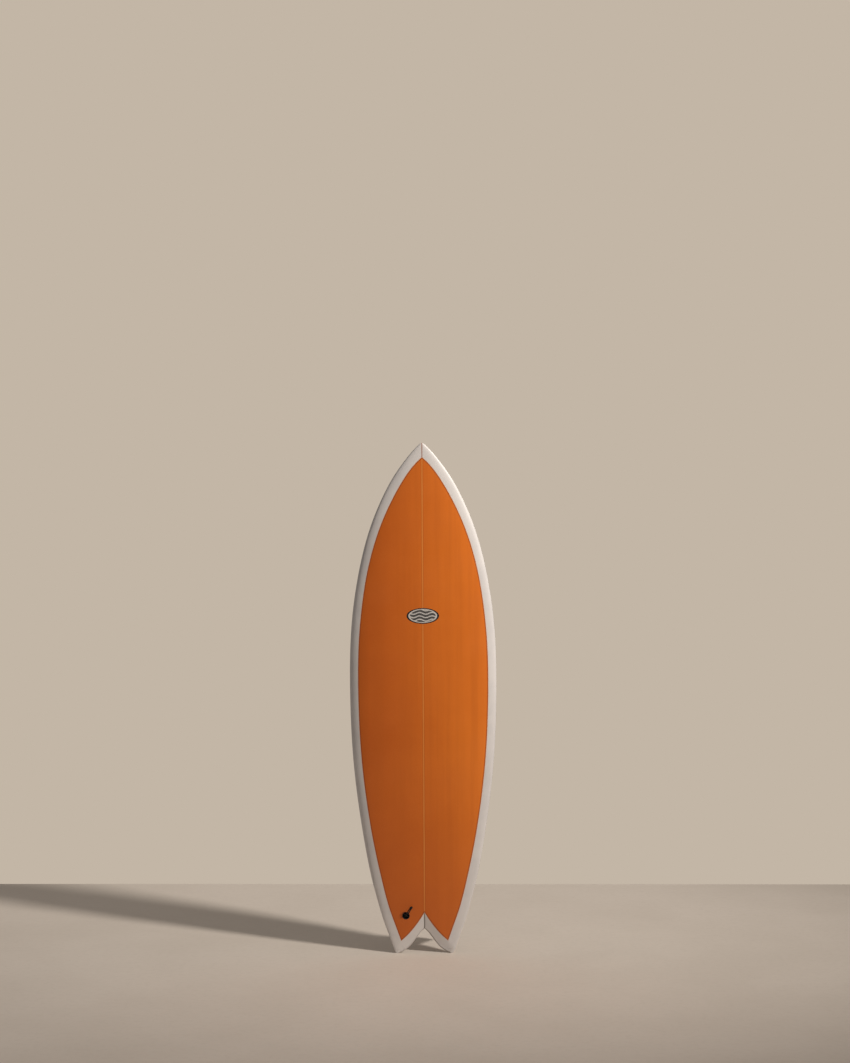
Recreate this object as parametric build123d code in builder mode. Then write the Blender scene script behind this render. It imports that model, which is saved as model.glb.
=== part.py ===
"""Swallow-tail fish surfboard with twin keel fins, in millimetres.

Frame: +Z runs from the two tail tips (Z = 0) to the nose, +X to the rider's right seen from the deck,
the deck faces -Y and the bottom and fins face +Y. The board stands on the flat feet of its tail tips.
"""
from build123d import *
import math
import os

os.makedirs("parts", exist_ok=True)

# ---------------------------------------------------------------- driving dimensions
LENGTH = 1854.0            # 6 ft 1 in, tail tips to nose
BOTTOM_Y = 9.0             # Y of the bottom's lowest rocker point, so that the box is centred on Y = 0
NOSE_ROCKER = 105.0
TAIL_ROCKER = 45.0
ROCKER_LOW_Z = 850.0       # where the bottom is deepest
GLASS = 1.2                # laminate thickness
NOTCH_GLASS = 4.0          # extra build-up round the swallow notch
STRINGER = 4.0             # wooden stringer thickness

EMBLEM_Z, EMBLEM_W, EMBLEM_H, EMBLEM_T = 1228.0, 118.0, 57.0, 0.3

PLUG_X, PLUG_Z = -67.5, 137.0
PLUG_R, PLUG_DEPTH = 13.5, 18.0
CUP_R, CUP_DEPTH = 11.0, 14.5
PIN_R, PIN_LENGTH, PIN_BELOW = 1.6, 25.0, 7.0
CORD_R = 2.0
LOOP_LEAN = (0.516, 0.857)   # the way the loop leans over the deck, in X and Z

FIN_X, FIN_Z = 116.0, 205.0
FIN_CANT, FIN_TOE = 6.0, 1.5
BOX_LENGTH, BOX_WIDTH, BOX_DEPTH = 140.0, 25.0, 17.0
SLOT_LENGTH, SLOT_WIDTH, SLOT_DEPTH = 116.6, 6.6, 13.6
TAB_LENGTH, TAB_WIDTH, TAB_DEPTH = 116.0, 6.1, 13.0
FIN_LIFT = 0.7               # gap between the fin's base and the bottom
SCREW_U, SCREW_TILT, SCREW_R, SCREW_LENGTH = 34.0, 25.0, 2.5, 6.0
SCREW_HOLE_R, HEX_AF, HEX_DEPTH = 2.6, 2.5, 3.0

# half-width of the outline at heights above the tail tips
OUTLINE = [(0, 104.0), (12, 110.0), (35, 118.6), (60, 127.6), (100, 143.0), (160, 162.2), (260, 189.6), (380, 214.0),
           (520, 236.2), (700, 256.6), (860, 265.2), (990, 267.3), (1120, 264.9), (1250, 254.4), (1370, 235.6),
           (1480, 210.6), (1580, 178.0), (1670, 138.2), (1740, 98.6), (1790, 62.5), (1825, 33.5), (1844, 14.8), (1854, 4.2)]
# thickness on the centreline
THICK = [(0, 13.0), (60, 19.0), (100, 23.2), (160, 29.5), (260, 38.2), (380, 46.2), (520, 54.0), (700, 61.6), (860, 65.6),
         (990, 67.0), (1120, 66.4), (1250, 63.4), (1370, 58.2), (1480, 51.0), (1580, 42.4), (1670, 33.4), (1740, 25.6),
         (1790, 19.4), (1825, 14.6), (1844, 11.4), (1854, 9.0)]
# height of the rail's widest point over the bottom, as a share of the thickness
APEX = [(0, 0.40), (160, 0.34), (380, 0.33), (860, 0.38), (1370, 0.44), (1740, 0.48), (1854, 0.50)]
# width of the bottom's tuck under the rail
TUCK = [(0, 5.0), (100, 8.0), (260, 13.0), (520, 21.0), (860, 30.0), (1370, 34.0), (1580, 32.0), (1740, 26.0), (1825, 13.0), (1854, 1.8)]
# swallow notch, right side from its apex to the foot of the tip
NOTCH = [(0.0, 88.0), (6.5, 82.0), (17.0, 70.8), (28.0, 56.4), (38.4, 42.4), (48.2, 30.2), (58.4, 19.8), (69.4, 11.8),
         (80.6, 5.6), (89.2, 1.6), (95.6, -2.0)]
# edge of the tinted deck panel, right side, from the notch point round the tail corner to the nose point
PANEL_NOTCH = [(0.0, 150.0), (16.0, 124.0), (38.0, 94.2), (60.0, 68.8), (85.4, 46.2)]
PANEL_SIDE = [(85.4, 46.2), (105.0, 100.0), (124.8, 155.0), (153.6, 262.0), (179.6, 380.0), (203.6, 520.0), (225.0, 700.0), (234.4, 860.0), (236.8, 990.0),
              (234.0, 1120.0), (222.8, 1250.0), (204.4, 1370.0), (177.4, 1480.0), (141.4, 1580.0), (97.8, 1670.0),
              (55.2, 1740.0), (19.4, 1784.0), (0.0, 1802.0)]
STATIONS = [0, 12, 35, 60, 100, 160, 260, 380, 520, 700, 860, 990, 1120, 1250, 1370, 1480, 1580, 1670, 1740, 1790, 1825, 1844, 1854]


# ---------------------------------------------------------------- smooth curves through the tables
def cubic(table):
    """A natural cubic spline through the table's points."""
    xs, ys = [float(p[0]) for p in table], [float(p[1]) for p in table]
    n = len(xs)
    h = [xs[i + 1] - xs[i] for i in range(n - 1)]
    a, b, c, d = [0.0] * n, [1.0] * n, [0.0] * n, [0.0] * n
    for i in range(1, n - 1):
        a[i], b[i], c[i] = h[i - 1], 2 * (h[i - 1] + h[i]), h[i]
        d[i] = 6 * ((ys[i + 1] - ys[i]) / h[i] - (ys[i] - ys[i - 1]) / h[i - 1])
    for i in range(1, n):
        m = a[i] / b[i - 1]
        b[i] -= m * c[i - 1]
        d[i] -= m * d[i - 1]
    s = [0.0] * n
    s[-1] = d[-1] / b[-1]
    for i in range(n - 2, -1, -1):
        s[i] = (d[i] - c[i] * s[i + 1]) / b[i]

    def value(x):
        k = 0
        while k < n - 2 and x > xs[k + 1]:
            k += 1
        t, u = x - xs[k], xs[k + 1] - x
        return ((s[k] * u**3 + s[k + 1] * t**3) / (6 * h[k])
                + (ys[k] / h[k] - s[k] * h[k] / 6) * u + (ys[k + 1] / h[k] - s[k + 1] * h[k] / 6) * t)

    return value


half_width, thickness, apex_share, tuck = cubic(OUTLINE), cubic(THICK), cubic(APEX), cubic(TUCK)


def rocker(z):
    if z < ROCKER_LOW_Z:
        return TAIL_ROCKER * ((ROCKER_LOW_Z - z) / ROCKER_LOW_Z) ** 2.2
    return NOSE_ROCKER * ((z - ROCKER_LOW_Z) / (LENGTH - ROCKER_LOW_Z)) ** 2.5


def bottom_y(z):
    return BOTTOM_Y - rocker(z)


def deck_poles(z, t=0.0):
    """Bezier poles of the deck from the rail's widest point to the centreline: (x, height over the bottom)."""
    w, T = half_width(z), thickness(z)
    a = apex_share(z) * T
    h = T - a
    return [(w - t, a), (w - t, a + 0.45 * h - 0.5 * t), (0.9 * w - 0.7 * t, a + 0.74 * h - t), (0.62 * w, a + 0.95 * h - t),
            (0.30 * w, T - t), (0.0, T - t)]


def rail_poles(z, t=0.0):
    """Bezier poles of the lower rail from the flat bottom to the rail's widest point."""
    w, a, k = half_width(z), apex_share(z) * thickness(z), tuck(z)
    c = 0.5523
    return [(w - k, t), (w - k + c * (k - t), t), (w - t, a - c * (a - t)), (w - t, a)]


def bezier(poles, s):
    p = [tuple(q) for q in poles]
    while len(p) > 1:
        p = [(p[i][0] * (1 - s) + p[i + 1][0] * s, p[i][1] * (1 - s) + p[i + 1][1] * s) for i in range(len(p) - 1)]
    return p[0]


def deck_height(x, z):
    """Height of the deck over the bottom at a point of the outline."""
    poles, lo, hi = deck_poles(z), 0.0, 1.0
    for _ in range(50):
        mid = (lo + hi) / 2
        if bezier(poles, mid)[0] > abs(x):
            lo = mid
        else:
            hi = mid
    return bezier(poles, (lo + hi) / 2)[1]


def deck_y(x, z):
    return bottom_y(z) - deck_height(x, z)


def station_plane(z):
    return Plane(origin=(0, bottom_y(z), z), x_dir=(1, 0, 0), z_dir=(0, 0, -1))


def hull(t, first, last):
    """The board's closed form, t inside its skin, lofted through one closed section at each station."""
    stations = [first] + [z for z in STATIONS if first + 4 < z < last - 4] + [last]
    with BuildPart() as form:
        for z in stations:
            deck, rail = deck_poles(z, t), rail_poles(z, t)
            with BuildSketch(station_plane(z)):
                with BuildLine():
                    Line((-rail[0][0], t), (rail[0][0], t))
                    Bezier(*rail)
                    Bezier(*deck)
                    Bezier(*[(-x, y) for x, y in reversed(deck)])
                    Bezier(*[(-x, y) for x, y in reversed(rail)])
                make_face()
        loft(clean=False)
    return form


outer = hull(0.0, 0, LENGTH)
inner = hull(GLASS, GLASS, LENGTH - 7.0)

# ---------------------------------------------------------------- the swallow notch
half = [Vector(x, z) for x, z in NOTCH]
with BuildPart() as notch_cut:
    with BuildSketch(Plane.XZ):
        with BuildLine():
            right_side = Spline(*half)
            left_side = Spline(*[(-v.X, v.Y) for v in half])
            Line(half[-1], (half[-1].X, -30))
            Line((half[-1].X, -30), (-half[-1].X, -30))
            Line((-half[-1].X, -30), (-half[-1].X, half[-1].Y))
        make_face()
    extrude(amount=160, both=True)

# the foam stops NOTCH_GLASS short of the notch all round
core_half = [Vector(0, NOTCH[0][1] + NOTCH_GLASS)]
for i in range(13):
    p, d = right_side @ (i / 12), right_side % (i / 12)
    d_x, d_z = (d.X, d.Z) if abs(d.Y) < 1e-9 else (d.X, d.Y)
    p_z = p.Z if abs(d.Y) < 1e-9 else p.Y
    core_half.append(Vector(p.X - d_z * NOTCH_GLASS, p_z + d_x * NOTCH_GLASS))
core_end = (core_half[-1].X, -30)
with BuildPart() as core_notch_cut:
    with BuildSketch(Plane.XZ):
        with BuildLine():
            Spline(*core_half)
            Spline(*[(-v.X, v.Y) for v in core_half])
            Line(core_half[-1], core_end)
            Line(core_end, (-core_end[0], -30))
            Line((-core_end[0], -30), (-core_half[-1].X, core_half[-1].Y))
        make_face()
    extrude(amount=160, both=True)
print("foam's notch", [(round(v.X, 1), round(v.Y, 1)) for v in core_half])

with BuildPart() as board_form:
    add(outer.part)
    add(notch_cut.part, mode=Mode.SUBTRACT)

with BuildPart() as core:
    add(inner.part)
    add(core_notch_cut.part, mode=Mode.SUBTRACT)

# ---------------------------------------------------------------- leash plug, let into the deck
plug_y = deck_y(PLUG_X, PLUG_Z)
slope_x = (deck_y(PLUG_X + 1, PLUG_Z) - deck_y(PLUG_X - 1, PLUG_Z)) / 2
slope_z = (deck_y(PLUG_X, PLUG_Z + 1) - deck_y(PLUG_X, PLUG_Z - 1)) / 2
plug_origin = Vector(PLUG_X, plug_y, PLUG_Z)
plug_out = Vector(slope_x, -1, slope_z).normalized()
lean = Vector(LOOP_LEAN[0], 0, LOOP_LEAN[1])
lean = (lean - plug_out * lean.dot(plug_out)).normalized()
pin_axis = lean.cross(plug_out).normalized()
plug_plane = Plane(origin=plug_origin, x_dir=lean, z_dir=plug_out)


def from_plug(u, v, n):
    """A point u along the lean, v along the pin and n out of the deck from the plug's centre."""
    return plug_origin + lean * u + pin_axis * v + plug_out * n


with BuildPart() as plug_hole:
    with BuildSketch(plug_plane.offset(-PLUG_DEPTH)):
        Circle(PLUG_R)
    extrude(amount=PLUG_DEPTH + 6)

with BuildPart() as leash_plug_pin:
    with BuildSketch(Plane(origin=from_plug(0, -PIN_LENGTH / 2, -PIN_BELOW), x_dir=plug_out, z_dir=pin_axis)):
        Circle(PIN_R)
    extrude(amount=PIN_LENGTH)

with BuildPart() as leash_plug_cup:
    add(plug_hole.part)
    add(board_form.part, mode=Mode.INTERSECT)
    with BuildSketch(plug_plane.offset(-CUP_DEPTH)):
        Circle(CUP_R)
    extrude(amount=CUP_DEPTH + 8, mode=Mode.SUBTRACT)
    add(leash_plug_pin.part, mode=Mode.SUBTRACT)

# ---------------------------------------------------------------- leash loop: a cord round the pin, knotted outside the cup
LOOP_ROUTE = [(35.0, 2.2, 16.8), (28.0, 2.4, 15.1), (19.6, 2.7, 11.7), (11.6, 2.8, 7.0), (6.8, 2.6, 0.9), (4.3, 1.9, -5.0), (3.9, 1.0, -11.0),
              (-3.9, -1.0, -11.0), (-4.3, -1.9, -5.0), (-2.8, -2.6, 0.6), (2.3, -2.9, 6.0), (9.4, -2.8, 10.5),
              (17.8, -2.6, 14.1), (27.0, -2.4, 16.4), (35.0, -2.2, 17.3)]
route = [from_plug(*p) for p in LOOP_ROUTE]
radii = []
for i in range(1, len(route) - 1):
    before, after = route[i] - route[i - 1], route[i + 1] - route[i]
    turn = math.radians(before.get_angle(after))
    radii.append(0.45 * min(before.length, after.length) / math.tan(turn / 2))
with BuildPart() as leash_loop:
    with BuildLine():
        loop_path = FilletPolyline(*route, radius=radii)
    with BuildSketch(Plane(origin=loop_path @ 0, z_dir=loop_path % 0)):
        Circle(CORD_R)
    sweep(path=loop_path)
loop_length = loop_path.length

knot_from, knot_to = from_plug(32.0, 0, 16.2), from_plug(43.0, 0, 19.1)
with BuildPart() as leash_loop_knot:
    with BuildSketch(Plane(origin=knot_from, x_dir=pin_axis, z_dir=knot_to - knot_from)):
        Circle(5.4)
    extrude(amount=(knot_to - knot_from).length)
    fillet(leash_loop_knot.edges().filter_by(GeomType.CIRCLE), radius=3.0)
    add(leash_loop.part, mode=Mode.SUBTRACT)

# ---------------------------------------------------------------- fin boxes, keel fins and grub screws of the right side
lie = math.atan((bottom_y(FIN_Z + 1) - bottom_y(FIN_Z - 1)) / 2)
fin_origin = Vector(FIN_X, bottom_y(FIN_Z), FIN_Z)
along = Vector(-math.sin(math.radians(FIN_TOE)), math.sin(lie), math.cos(lie)).normalized()   # towards the nose
face_out = Vector(0, math.cos(lie), -math.sin(lie))
side = face_out.cross(along).normalized()                                                     # outboard
face_out = along.cross(side).normalized()
cant = math.radians(FIN_CANT)
rise = (face_out * math.cos(cant) + side * math.sin(cant)).normalized()                       # up the fin
across = rise.cross(along).normalized()                                                       # fin's outboard side


def from_fin(u, s, h):
    """A point u along the base, s outboard and h up the fin from the middle of its base."""
    return fin_origin + along * u + across * s + rise * h


def fin_plane(h, u=0.0, s=0.0):
    return Plane(origin=from_fin(u, s, h), x_dir=along, z_dir=rise)


with BuildPart() as box_hole:
    with BuildSketch(fin_plane(-BOX_DEPTH)):
        SlotOverall(BOX_LENGTH, BOX_WIDTH)
    extrude(amount=BOX_DEPTH + 5)

tilt = math.radians(SCREW_TILT)
screw_out = (rise * math.cos(tilt) + across * math.sin(tilt)).normalized()
TIP_S, TIP_H = TAB_WIDTH / 2 + 0.12 + SCREW_R * math.cos(tilt), -6.9
screw_planes = [Plane(origin=from_fin(u, TIP_S, TIP_H), x_dir=along, z_dir=screw_out) for u in (-SCREW_U, SCREW_U)]

with BuildPart() as fin_box_right:
    add(box_hole.part)
    add(board_form.part, mode=Mode.INTERSECT)
    with BuildSketch(fin_plane(-SLOT_DEPTH)):
        RectangleRounded(SLOT_LENGTH, SLOT_WIDTH, 3.0)
    extrude(amount=SLOT_DEPTH + 8, mode=Mode.SUBTRACT)
    with BuildSketch(*screw_planes):
        Circle(SCREW_HOLE_R)
    extrude(amount=16, mode=Mode.SUBTRACT)

with BuildPart() as fin_screws_right:
    with BuildSketch(*screw_planes):
        Circle(SCREW_R)
    extrude(amount=SCREW_LENGTH)
    with BuildSketch(*[p.offset(SCREW_LENGTH - HEX_DEPTH) for p in screw_planes]):
        RegularPolygon(HEX_AF / math.sqrt(3), 6)
    extrude(amount=HEX_DEPTH + 1, mode=Mode.SUBTRACT)

# chord ends and thickness of the keel's sections: height, trailing end, leading end, thickness
KEEL = [(FIN_LIFT, -80.0, 84.0, 7.6), (16.0, -81.5, 74.0, 7.4), (36.0, -84.0, 59.0, 6.9), (58.0, -87.5, 39.5, 6.2),
        (80.0, -92.5, 16.0, 5.4), (100.0, -98.0, -11.0, 4.5), (115.0, -103.0, -37.0, 3.7), (124.0, -106.0, -61.0, 2.9), (128.5, -106.5, -82.0, 2.0)]
with BuildPart() as keel_fin_right:
    for h, tail_end, lead_end, t in KEEL:
        c, edge = lead_end - tail_end, 0.45
        with BuildSketch(fin_plane(h)):
            with BuildLine():
                Line((tail_end, edge), (tail_end, -edge))
                Bezier((tail_end, -edge), (tail_end + 0.30 * c, -0.55 * t), (tail_end + 0.62 * c, -0.60 * t), (lead_end - 0.01 * c, -0.52 * t), (lead_end, 0))
                Bezier((lead_end, 0), (lead_end - 0.01 * c, 0.75 * t), (tail_end + 0.62 * c, 0.78 * t), (tail_end + 0.30 * c, 0.45 * t), (tail_end, edge))
            make_face()
    loft()
    with BuildSketch(fin_plane(-TAB_DEPTH)):
        RectangleRounded(TAB_LENGTH, TAB_WIDTH, 2.6)
    extrude(amount=TAB_DEPTH + FIN_LIFT + 0.6)

# ---------------------------------------------------------------- left side mirrors the right
with BuildPart() as fin_box_left:
    mirror(fin_box_right.part, about=Plane.YZ)
with BuildPart() as fin_screws_left:
    mirror(fin_screws_right.part, about=Plane.YZ)
with BuildPart() as keel_fin_left:
    mirror(keel_fin_right.part, about=Plane.YZ)
with BuildPart() as box_hole_left:
    mirror(box_hole.part, about=Plane.YZ)

# ---------------------------------------------------------------- foam halves and stringer
with BuildPart() as core_cut:
    add(core.part)
    add(plug_hole.part, mode=Mode.SUBTRACT)
    add(box_hole.part, mode=Mode.SUBTRACT)
    add(box_hole_left.part, mode=Mode.SUBTRACT)

with BuildPart() as foam_blank_right:
    add(core_cut.part)
    with Locations((STRINGER / 2 + 200, 0, LENGTH / 2)):
        Box(400, 600, LENGTH + 200, mode=Mode.INTERSECT)
with BuildPart() as foam_blank_left:
    add(core_cut.part)
    with Locations((-STRINGER / 2 - 200, 0, LENGTH / 2)):
        Box(400, 600, LENGTH + 200, mode=Mode.INTERSECT)
with BuildPart() as stringer:
    add(core.part)
    with Locations((0, 0, LENGTH / 2)):
        Box(STRINGER, 600, LENGTH + 200, mode=Mode.INTERSECT)

# ---------------------------------------------------------------- laminates
with BuildPart() as skin:
    add(board_form.part)
    add(core.part, mode=Mode.SUBTRACT)
    add(plug_hole.part, mode=Mode.SUBTRACT)
    add(box_hole.part, mode=Mode.SUBTRACT)
    add(box_hole_left.part, mode=Mode.SUBTRACT)

with BuildPart() as panel_prism:
    with BuildSketch(Plane.XZ):
        with BuildLine():
            Spline(*PANEL_NOTCH)
            Spline(*PANEL_SIDE)
            Spline(*[(-x, z) for x, z in PANEL_NOTCH])
            Spline(*[(-x, z) for x, z in PANEL_SIDE])
        make_face()
    extrude(amount=300, both=True)
    middle = [(bottom_y(z) - 0.42 * thickness(z), z) for z in STATIONS]
    with BuildSketch(Plane.YZ):
        with BuildLine():
            Spline(*middle)
            Line(middle[-1], (middle[-1][0], LENGTH + 50))
            Line((middle[-1][0], LENGTH + 50), (-400, LENGTH + 50))
            Line((-400, LENGTH + 50), (-400, -50))
            Line((-400, -50), (middle[0][0], -50))
            Line((middle[0][0], -50), middle[0])
        make_face()
    extrude(amount=400, both=True, mode=Mode.INTERSECT)

with BuildPart() as emblem_hole:
    with BuildSketch(Plane.XZ.offset(20)):
        with Locations((0, EMBLEM_Z)):
            Ellipse(EMBLEM_W / 2, EMBLEM_H / 2)
    extrude(amount=150)
with BuildPart() as lowered:
    with Locations((0, EMBLEM_T, 0)):
        add(outer.part)
with BuildPart() as emblem_print:
    add(emblem_hole.part)
    add(outer.part, mode=Mode.INTERSECT)
    add(lowered.part, mode=Mode.SUBTRACT)

with BuildPart() as deck_inlay:
    add(skin.part)
    add(panel_prism.part, mode=Mode.INTERSECT)
    add(emblem_print.part, mode=Mode.SUBTRACT)
with BuildPart() as bottom_laminate:
    add(skin.part)
    add(panel_prism.part, mode=Mode.SUBTRACT)

# ---------------------------------------------------------------- the parts
pieces = {
    "foam_blank_left": foam_blank_left, "foam_blank_right": foam_blank_right, "stringer": stringer,
    "deck_inlay": deck_inlay, "bottom_laminate": bottom_laminate, "emblem_print": emblem_print,
    "leash_plug_cup": leash_plug_cup, "leash_plug_pin": leash_plug_pin, "leash_loop": leash_loop,
    "leash_loop_knot": leash_loop_knot,
    "fin_box_left": fin_box_left, "fin_box_right": fin_box_right,
    "fin_screws_left": fin_screws_left, "fin_screws_right": fin_screws_right,
    "keel_fin_left": keel_fin_left, "keel_fin_right": keel_fin_right,
}
low, high = [1e9] * 3, [-1e9] * 3
for name, piece in pieces.items():
    piece.part.label = name
    export_step(piece.part, "parts/" + name + ".step")
    box = piece.part.bounding_box()
    low = [min(a, b) for a, b in zip(low, box.min)]
    high = [max(a, b) for a, b in zip(high, box.max)]
    print(f"{name:20s} solids {len(piece.part.solids())} valid {piece.part.is_valid} volume {piece.part.volume:.1f}",
          [round(v, 1) for v in box.min], [round(v, 1) for v in box.max])
print("box", [round(v, 2) for v in low], [round(v, 2) for v in high], "middle of Y", round((low[1] + high[1]) / 2, 3))
print("loop length", round(loop_length, 2), "tube volume / section x length",
      round(leash_loop.part.volume / (math.pi * CORD_R**2 * loop_length), 4))
print("loop radii", [round(r, 1) for r in radii])
print("loop runs", [round((b - a).length, 1) for a, b in zip(route, route[1:])])
print("plug", plug_origin, "out", plug_out, "lean", lean, "pin axis", pin_axis, "pin centre", from_plug(0, 0, -PIN_BELOW))
print("fin", fin_origin, "along", along, "rise", rise, "across", across)
for label, x in (("apex", 0), ("tip", 100)):
    print(label, "deck", round(deck_y(x, 20), 2), "bottom", round(bottom_y(20), 2))
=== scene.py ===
import math

import bmesh
import bpy
import numpy as np
from mathutils import Matrix, Vector
from mathutils.kdtree import KDTree


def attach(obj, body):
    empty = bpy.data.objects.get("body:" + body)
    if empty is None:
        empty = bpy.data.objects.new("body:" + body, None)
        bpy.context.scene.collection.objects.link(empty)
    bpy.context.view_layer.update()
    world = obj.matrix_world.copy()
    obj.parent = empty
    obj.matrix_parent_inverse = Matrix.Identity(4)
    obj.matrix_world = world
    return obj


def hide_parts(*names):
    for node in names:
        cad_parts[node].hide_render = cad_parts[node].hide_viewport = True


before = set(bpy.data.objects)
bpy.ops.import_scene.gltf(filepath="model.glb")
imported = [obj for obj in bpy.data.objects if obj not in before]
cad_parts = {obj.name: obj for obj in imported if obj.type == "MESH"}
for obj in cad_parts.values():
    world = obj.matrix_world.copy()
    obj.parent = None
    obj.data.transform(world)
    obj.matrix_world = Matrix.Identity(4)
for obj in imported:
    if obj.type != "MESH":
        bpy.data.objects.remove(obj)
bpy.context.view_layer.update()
MM = 0.001

# ================================================================ camera
scene = bpy.context.scene
scene.view_settings.view_transform = "Standard"
cam_data = bpy.data.cameras.new("camera")
cam_data.lens, cam_data.sensor_width, cam_data.sensor_fit = 50.0, 30.0, "AUTO"
cam_data.clip_start, cam_data.clip_end = 0.1, 60
camera = bpy.data.objects.new("camera", cam_data)
scene.collection.objects.link(camera)
CAM_Y = -6.4905
camera.location = (0.0098, CAM_Y, 1.5341)
ROLL = math.radians(0.33)
camera.rotation_mode = "XYZ"
camera.matrix_world = Matrix.Translation(camera.location) @ Matrix.Rotation(math.radians(90), 4, "X") @ Matrix.Rotation(-ROLL, 4, "Z")
scene.camera = camera

# ================================================================ the board's form, in millimetres
LENGTH, BOTTOM_Y, NOSE_ROCKER, TAIL_ROCKER, ROCKER_LOW_Z, GLASS = 1854.0, 9.0, 105.0, 45.0, 850.0, 1.2
OUTLINE = [(0, 104.0), (12, 110.0), (35, 118.6), (60, 127.6), (100, 143.0), (160, 162.2), (260, 189.6), (380, 214.0),
           (520, 236.2), (700, 256.6), (860, 265.2), (990, 267.3), (1120, 264.9), (1250, 254.4), (1370, 235.6),
           (1480, 210.6), (1580, 178.0), (1670, 138.2), (1740, 98.6), (1790, 62.5), (1825, 33.5), (1844, 14.8), (1854, 4.2)]
THICK = [(0, 13.0), (60, 19.0), (100, 23.2), (160, 29.5), (260, 38.2), (380, 46.2), (520, 54.0), (700, 61.6), (860, 65.6),
         (990, 67.0), (1120, 66.4), (1250, 63.4), (1370, 58.2), (1480, 51.0), (1580, 42.4), (1670, 33.4), (1740, 25.6),
         (1790, 19.4), (1825, 14.6), (1844, 11.4), (1854, 9.0)]
APEX = [(0, 0.40), (160, 0.34), (380, 0.33), (860, 0.38), (1370, 0.44), (1740, 0.48), (1854, 0.50)]
TUCK = [(0, 5.0), (100, 8.0), (260, 13.0), (520, 21.0), (860, 30.0), (1370, 34.0), (1580, 32.0), (1740, 26.0), (1825, 13.0), (1854, 1.8)]
NOTCH = [(0.0, 88.0), (6.5, 82.0), (17.0, 70.8), (28.0, 56.4), (38.4, 42.4), (48.2, 30.2), (58.4, 19.8), (69.4, 11.8),
         (80.6, 5.6), (89.2, 1.6), (95.6, -2.0)]
PANEL_NOTCH = [(0.0, 150.0), (16.0, 124.0), (38.0, 94.2), (60.0, 68.8), (85.4, 46.2)]
PANEL_SIDE = [(85.4, 46.2), (105.0, 100.0), (124.8, 155.0), (153.6, 262.0), (179.6, 380.0), (203.6, 520.0), (225.0, 700.0),
              (234.4, 860.0), (236.8, 990.0), (234.0, 1120.0), (222.8, 1250.0), (204.4, 1370.0), (177.4, 1480.0),
              (141.4, 1580.0), (97.8, 1670.0), (55.2, 1740.0), (19.4, 1784.0), (0.0, 1802.0)]


def cubic(xs, ys):
    """A natural cubic spline through the points, as a function of an array."""
    xs, ys = np.array(xs, float), np.array(ys, float)
    n = len(xs)
    h = np.diff(xs)
    m = np.eye(n)
    d = np.zeros(n)
    for i in range(1, n - 1):
        m[i, i - 1], m[i, i], m[i, i + 1] = h[i - 1], 2 * (h[i - 1] + h[i]), h[i]
        d[i] = 6 * ((ys[i + 1] - ys[i]) / h[i] - (ys[i] - ys[i - 1]) / h[i - 1])
    s = np.linalg.solve(m, d)

    def value(x):
        x = np.asarray(x, float)
        k = np.clip(np.searchsorted(xs, x, side="right") - 1, 0, n - 2)
        t, u = x - xs[k], xs[k + 1] - x
        return ((s[k] * u**3 + s[k + 1] * t**3) / (6 * h[k])
                + (ys[k] / h[k] - s[k] * h[k] / 6) * u + (ys[k + 1] / h[k] - s[k + 1] * h[k] / 6) * t)

    return value


def of_table(table):
    return cubic([p[0] for p in table], [p[1] for p in table])


half_width, thickness, apex_share, tuck = of_table(OUTLINE), of_table(THICK), of_table(APEX), of_table(TUCK)


def curve_through(points, count=400):
    """A dense smooth polyline through the points."""
    p = np.array(points, float)
    u = np.concatenate([[0], np.cumsum(np.hypot(*np.diff(p, axis=0).T))])
    fx, fz = cubic(u, p[:, 0]), cubic(u, p[:, 1])
    t = np.linspace(0, u[-1], count)
    return np.stack([fx(t), fz(t)], axis=1)


def bottom_y(z):
    z = np.asarray(z, float)
    tail = TAIL_ROCKER * (np.clip(ROCKER_LOW_Z - z, 0, None) / ROCKER_LOW_Z) ** 2.2
    nose = NOSE_ROCKER * (np.clip(z - ROCKER_LOW_Z, 0, None) / (LENGTH - ROCKER_LOW_Z)) ** 2.5
    return BOTTOM_Y - tail - nose


def bezier(poles, s):
    p = [np.asarray(q, float) + 0 * s for q in poles]
    while len(p) > 1:
        p = [p[i] * (1 - s) + p[i + 1] * s for i in range(len(p) - 1)]
    return p[0]


def deck_poles(z):
    w, T = half_width(z), thickness(z)
    a = apex_share(z) * T
    h = T - a
    return [w, w, 0.9 * w, 0.62 * w, 0.30 * w, 0 * w], [a, a + 0.45 * h, a + 0.74 * h, a + 0.95 * h, T, T]


def rail_poles(z):
    w, a, k = half_width(z), apex_share(z) * thickness(z), tuck(z)
    c = 0.5523
    return [w - k, w - k + c * k, w, w], [0 * w, 0 * w, a - c * a, a]


def deck_param(x, z):
    """The Bezier parameter of the deck's section at |x|, 0 at the rail and 1 on the centreline."""
    px, _ = deck_poles(z)
    lo, hi = np.zeros_like(z), np.ones_like(z)
    for _ in range(46):
        mid = (lo + hi) / 2
        far = bezier(px, mid) > np.abs(x)
        lo, hi = np.where(far, mid, lo), np.where(far, hi, mid)
    return (lo + hi) / 2


# the deck falls away from the panel's lower edge to the swallow notch, in two faces that meet in a crease
BAND_NX, BAND_NZ = 0.7722, 0.6353
BAND_SLOPE = 0.27


def band_drop(x, z, h):
    s = BAND_NZ * (150.0 - z) - BAND_NX * np.abs(x)
    e = 2.5
    fall = BAND_SLOPE * (np.sqrt(np.clip(s, 0, None) ** 2 + e * e) - e)
    T = thickness(z)
    a = apex_share(z) * T
    return fall * np.clip((h - a) / (T - a), 0, 1)


def deck_h(x, z):
    x, z = np.asarray(x, float), np.asarray(z, float)
    h = bezier(deck_poles(z)[1], deck_param(x, z))
    return h - band_drop(x, z, h)


def deck_y(x, z):
    return bottom_y(z) - deck_h(x, z)


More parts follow.
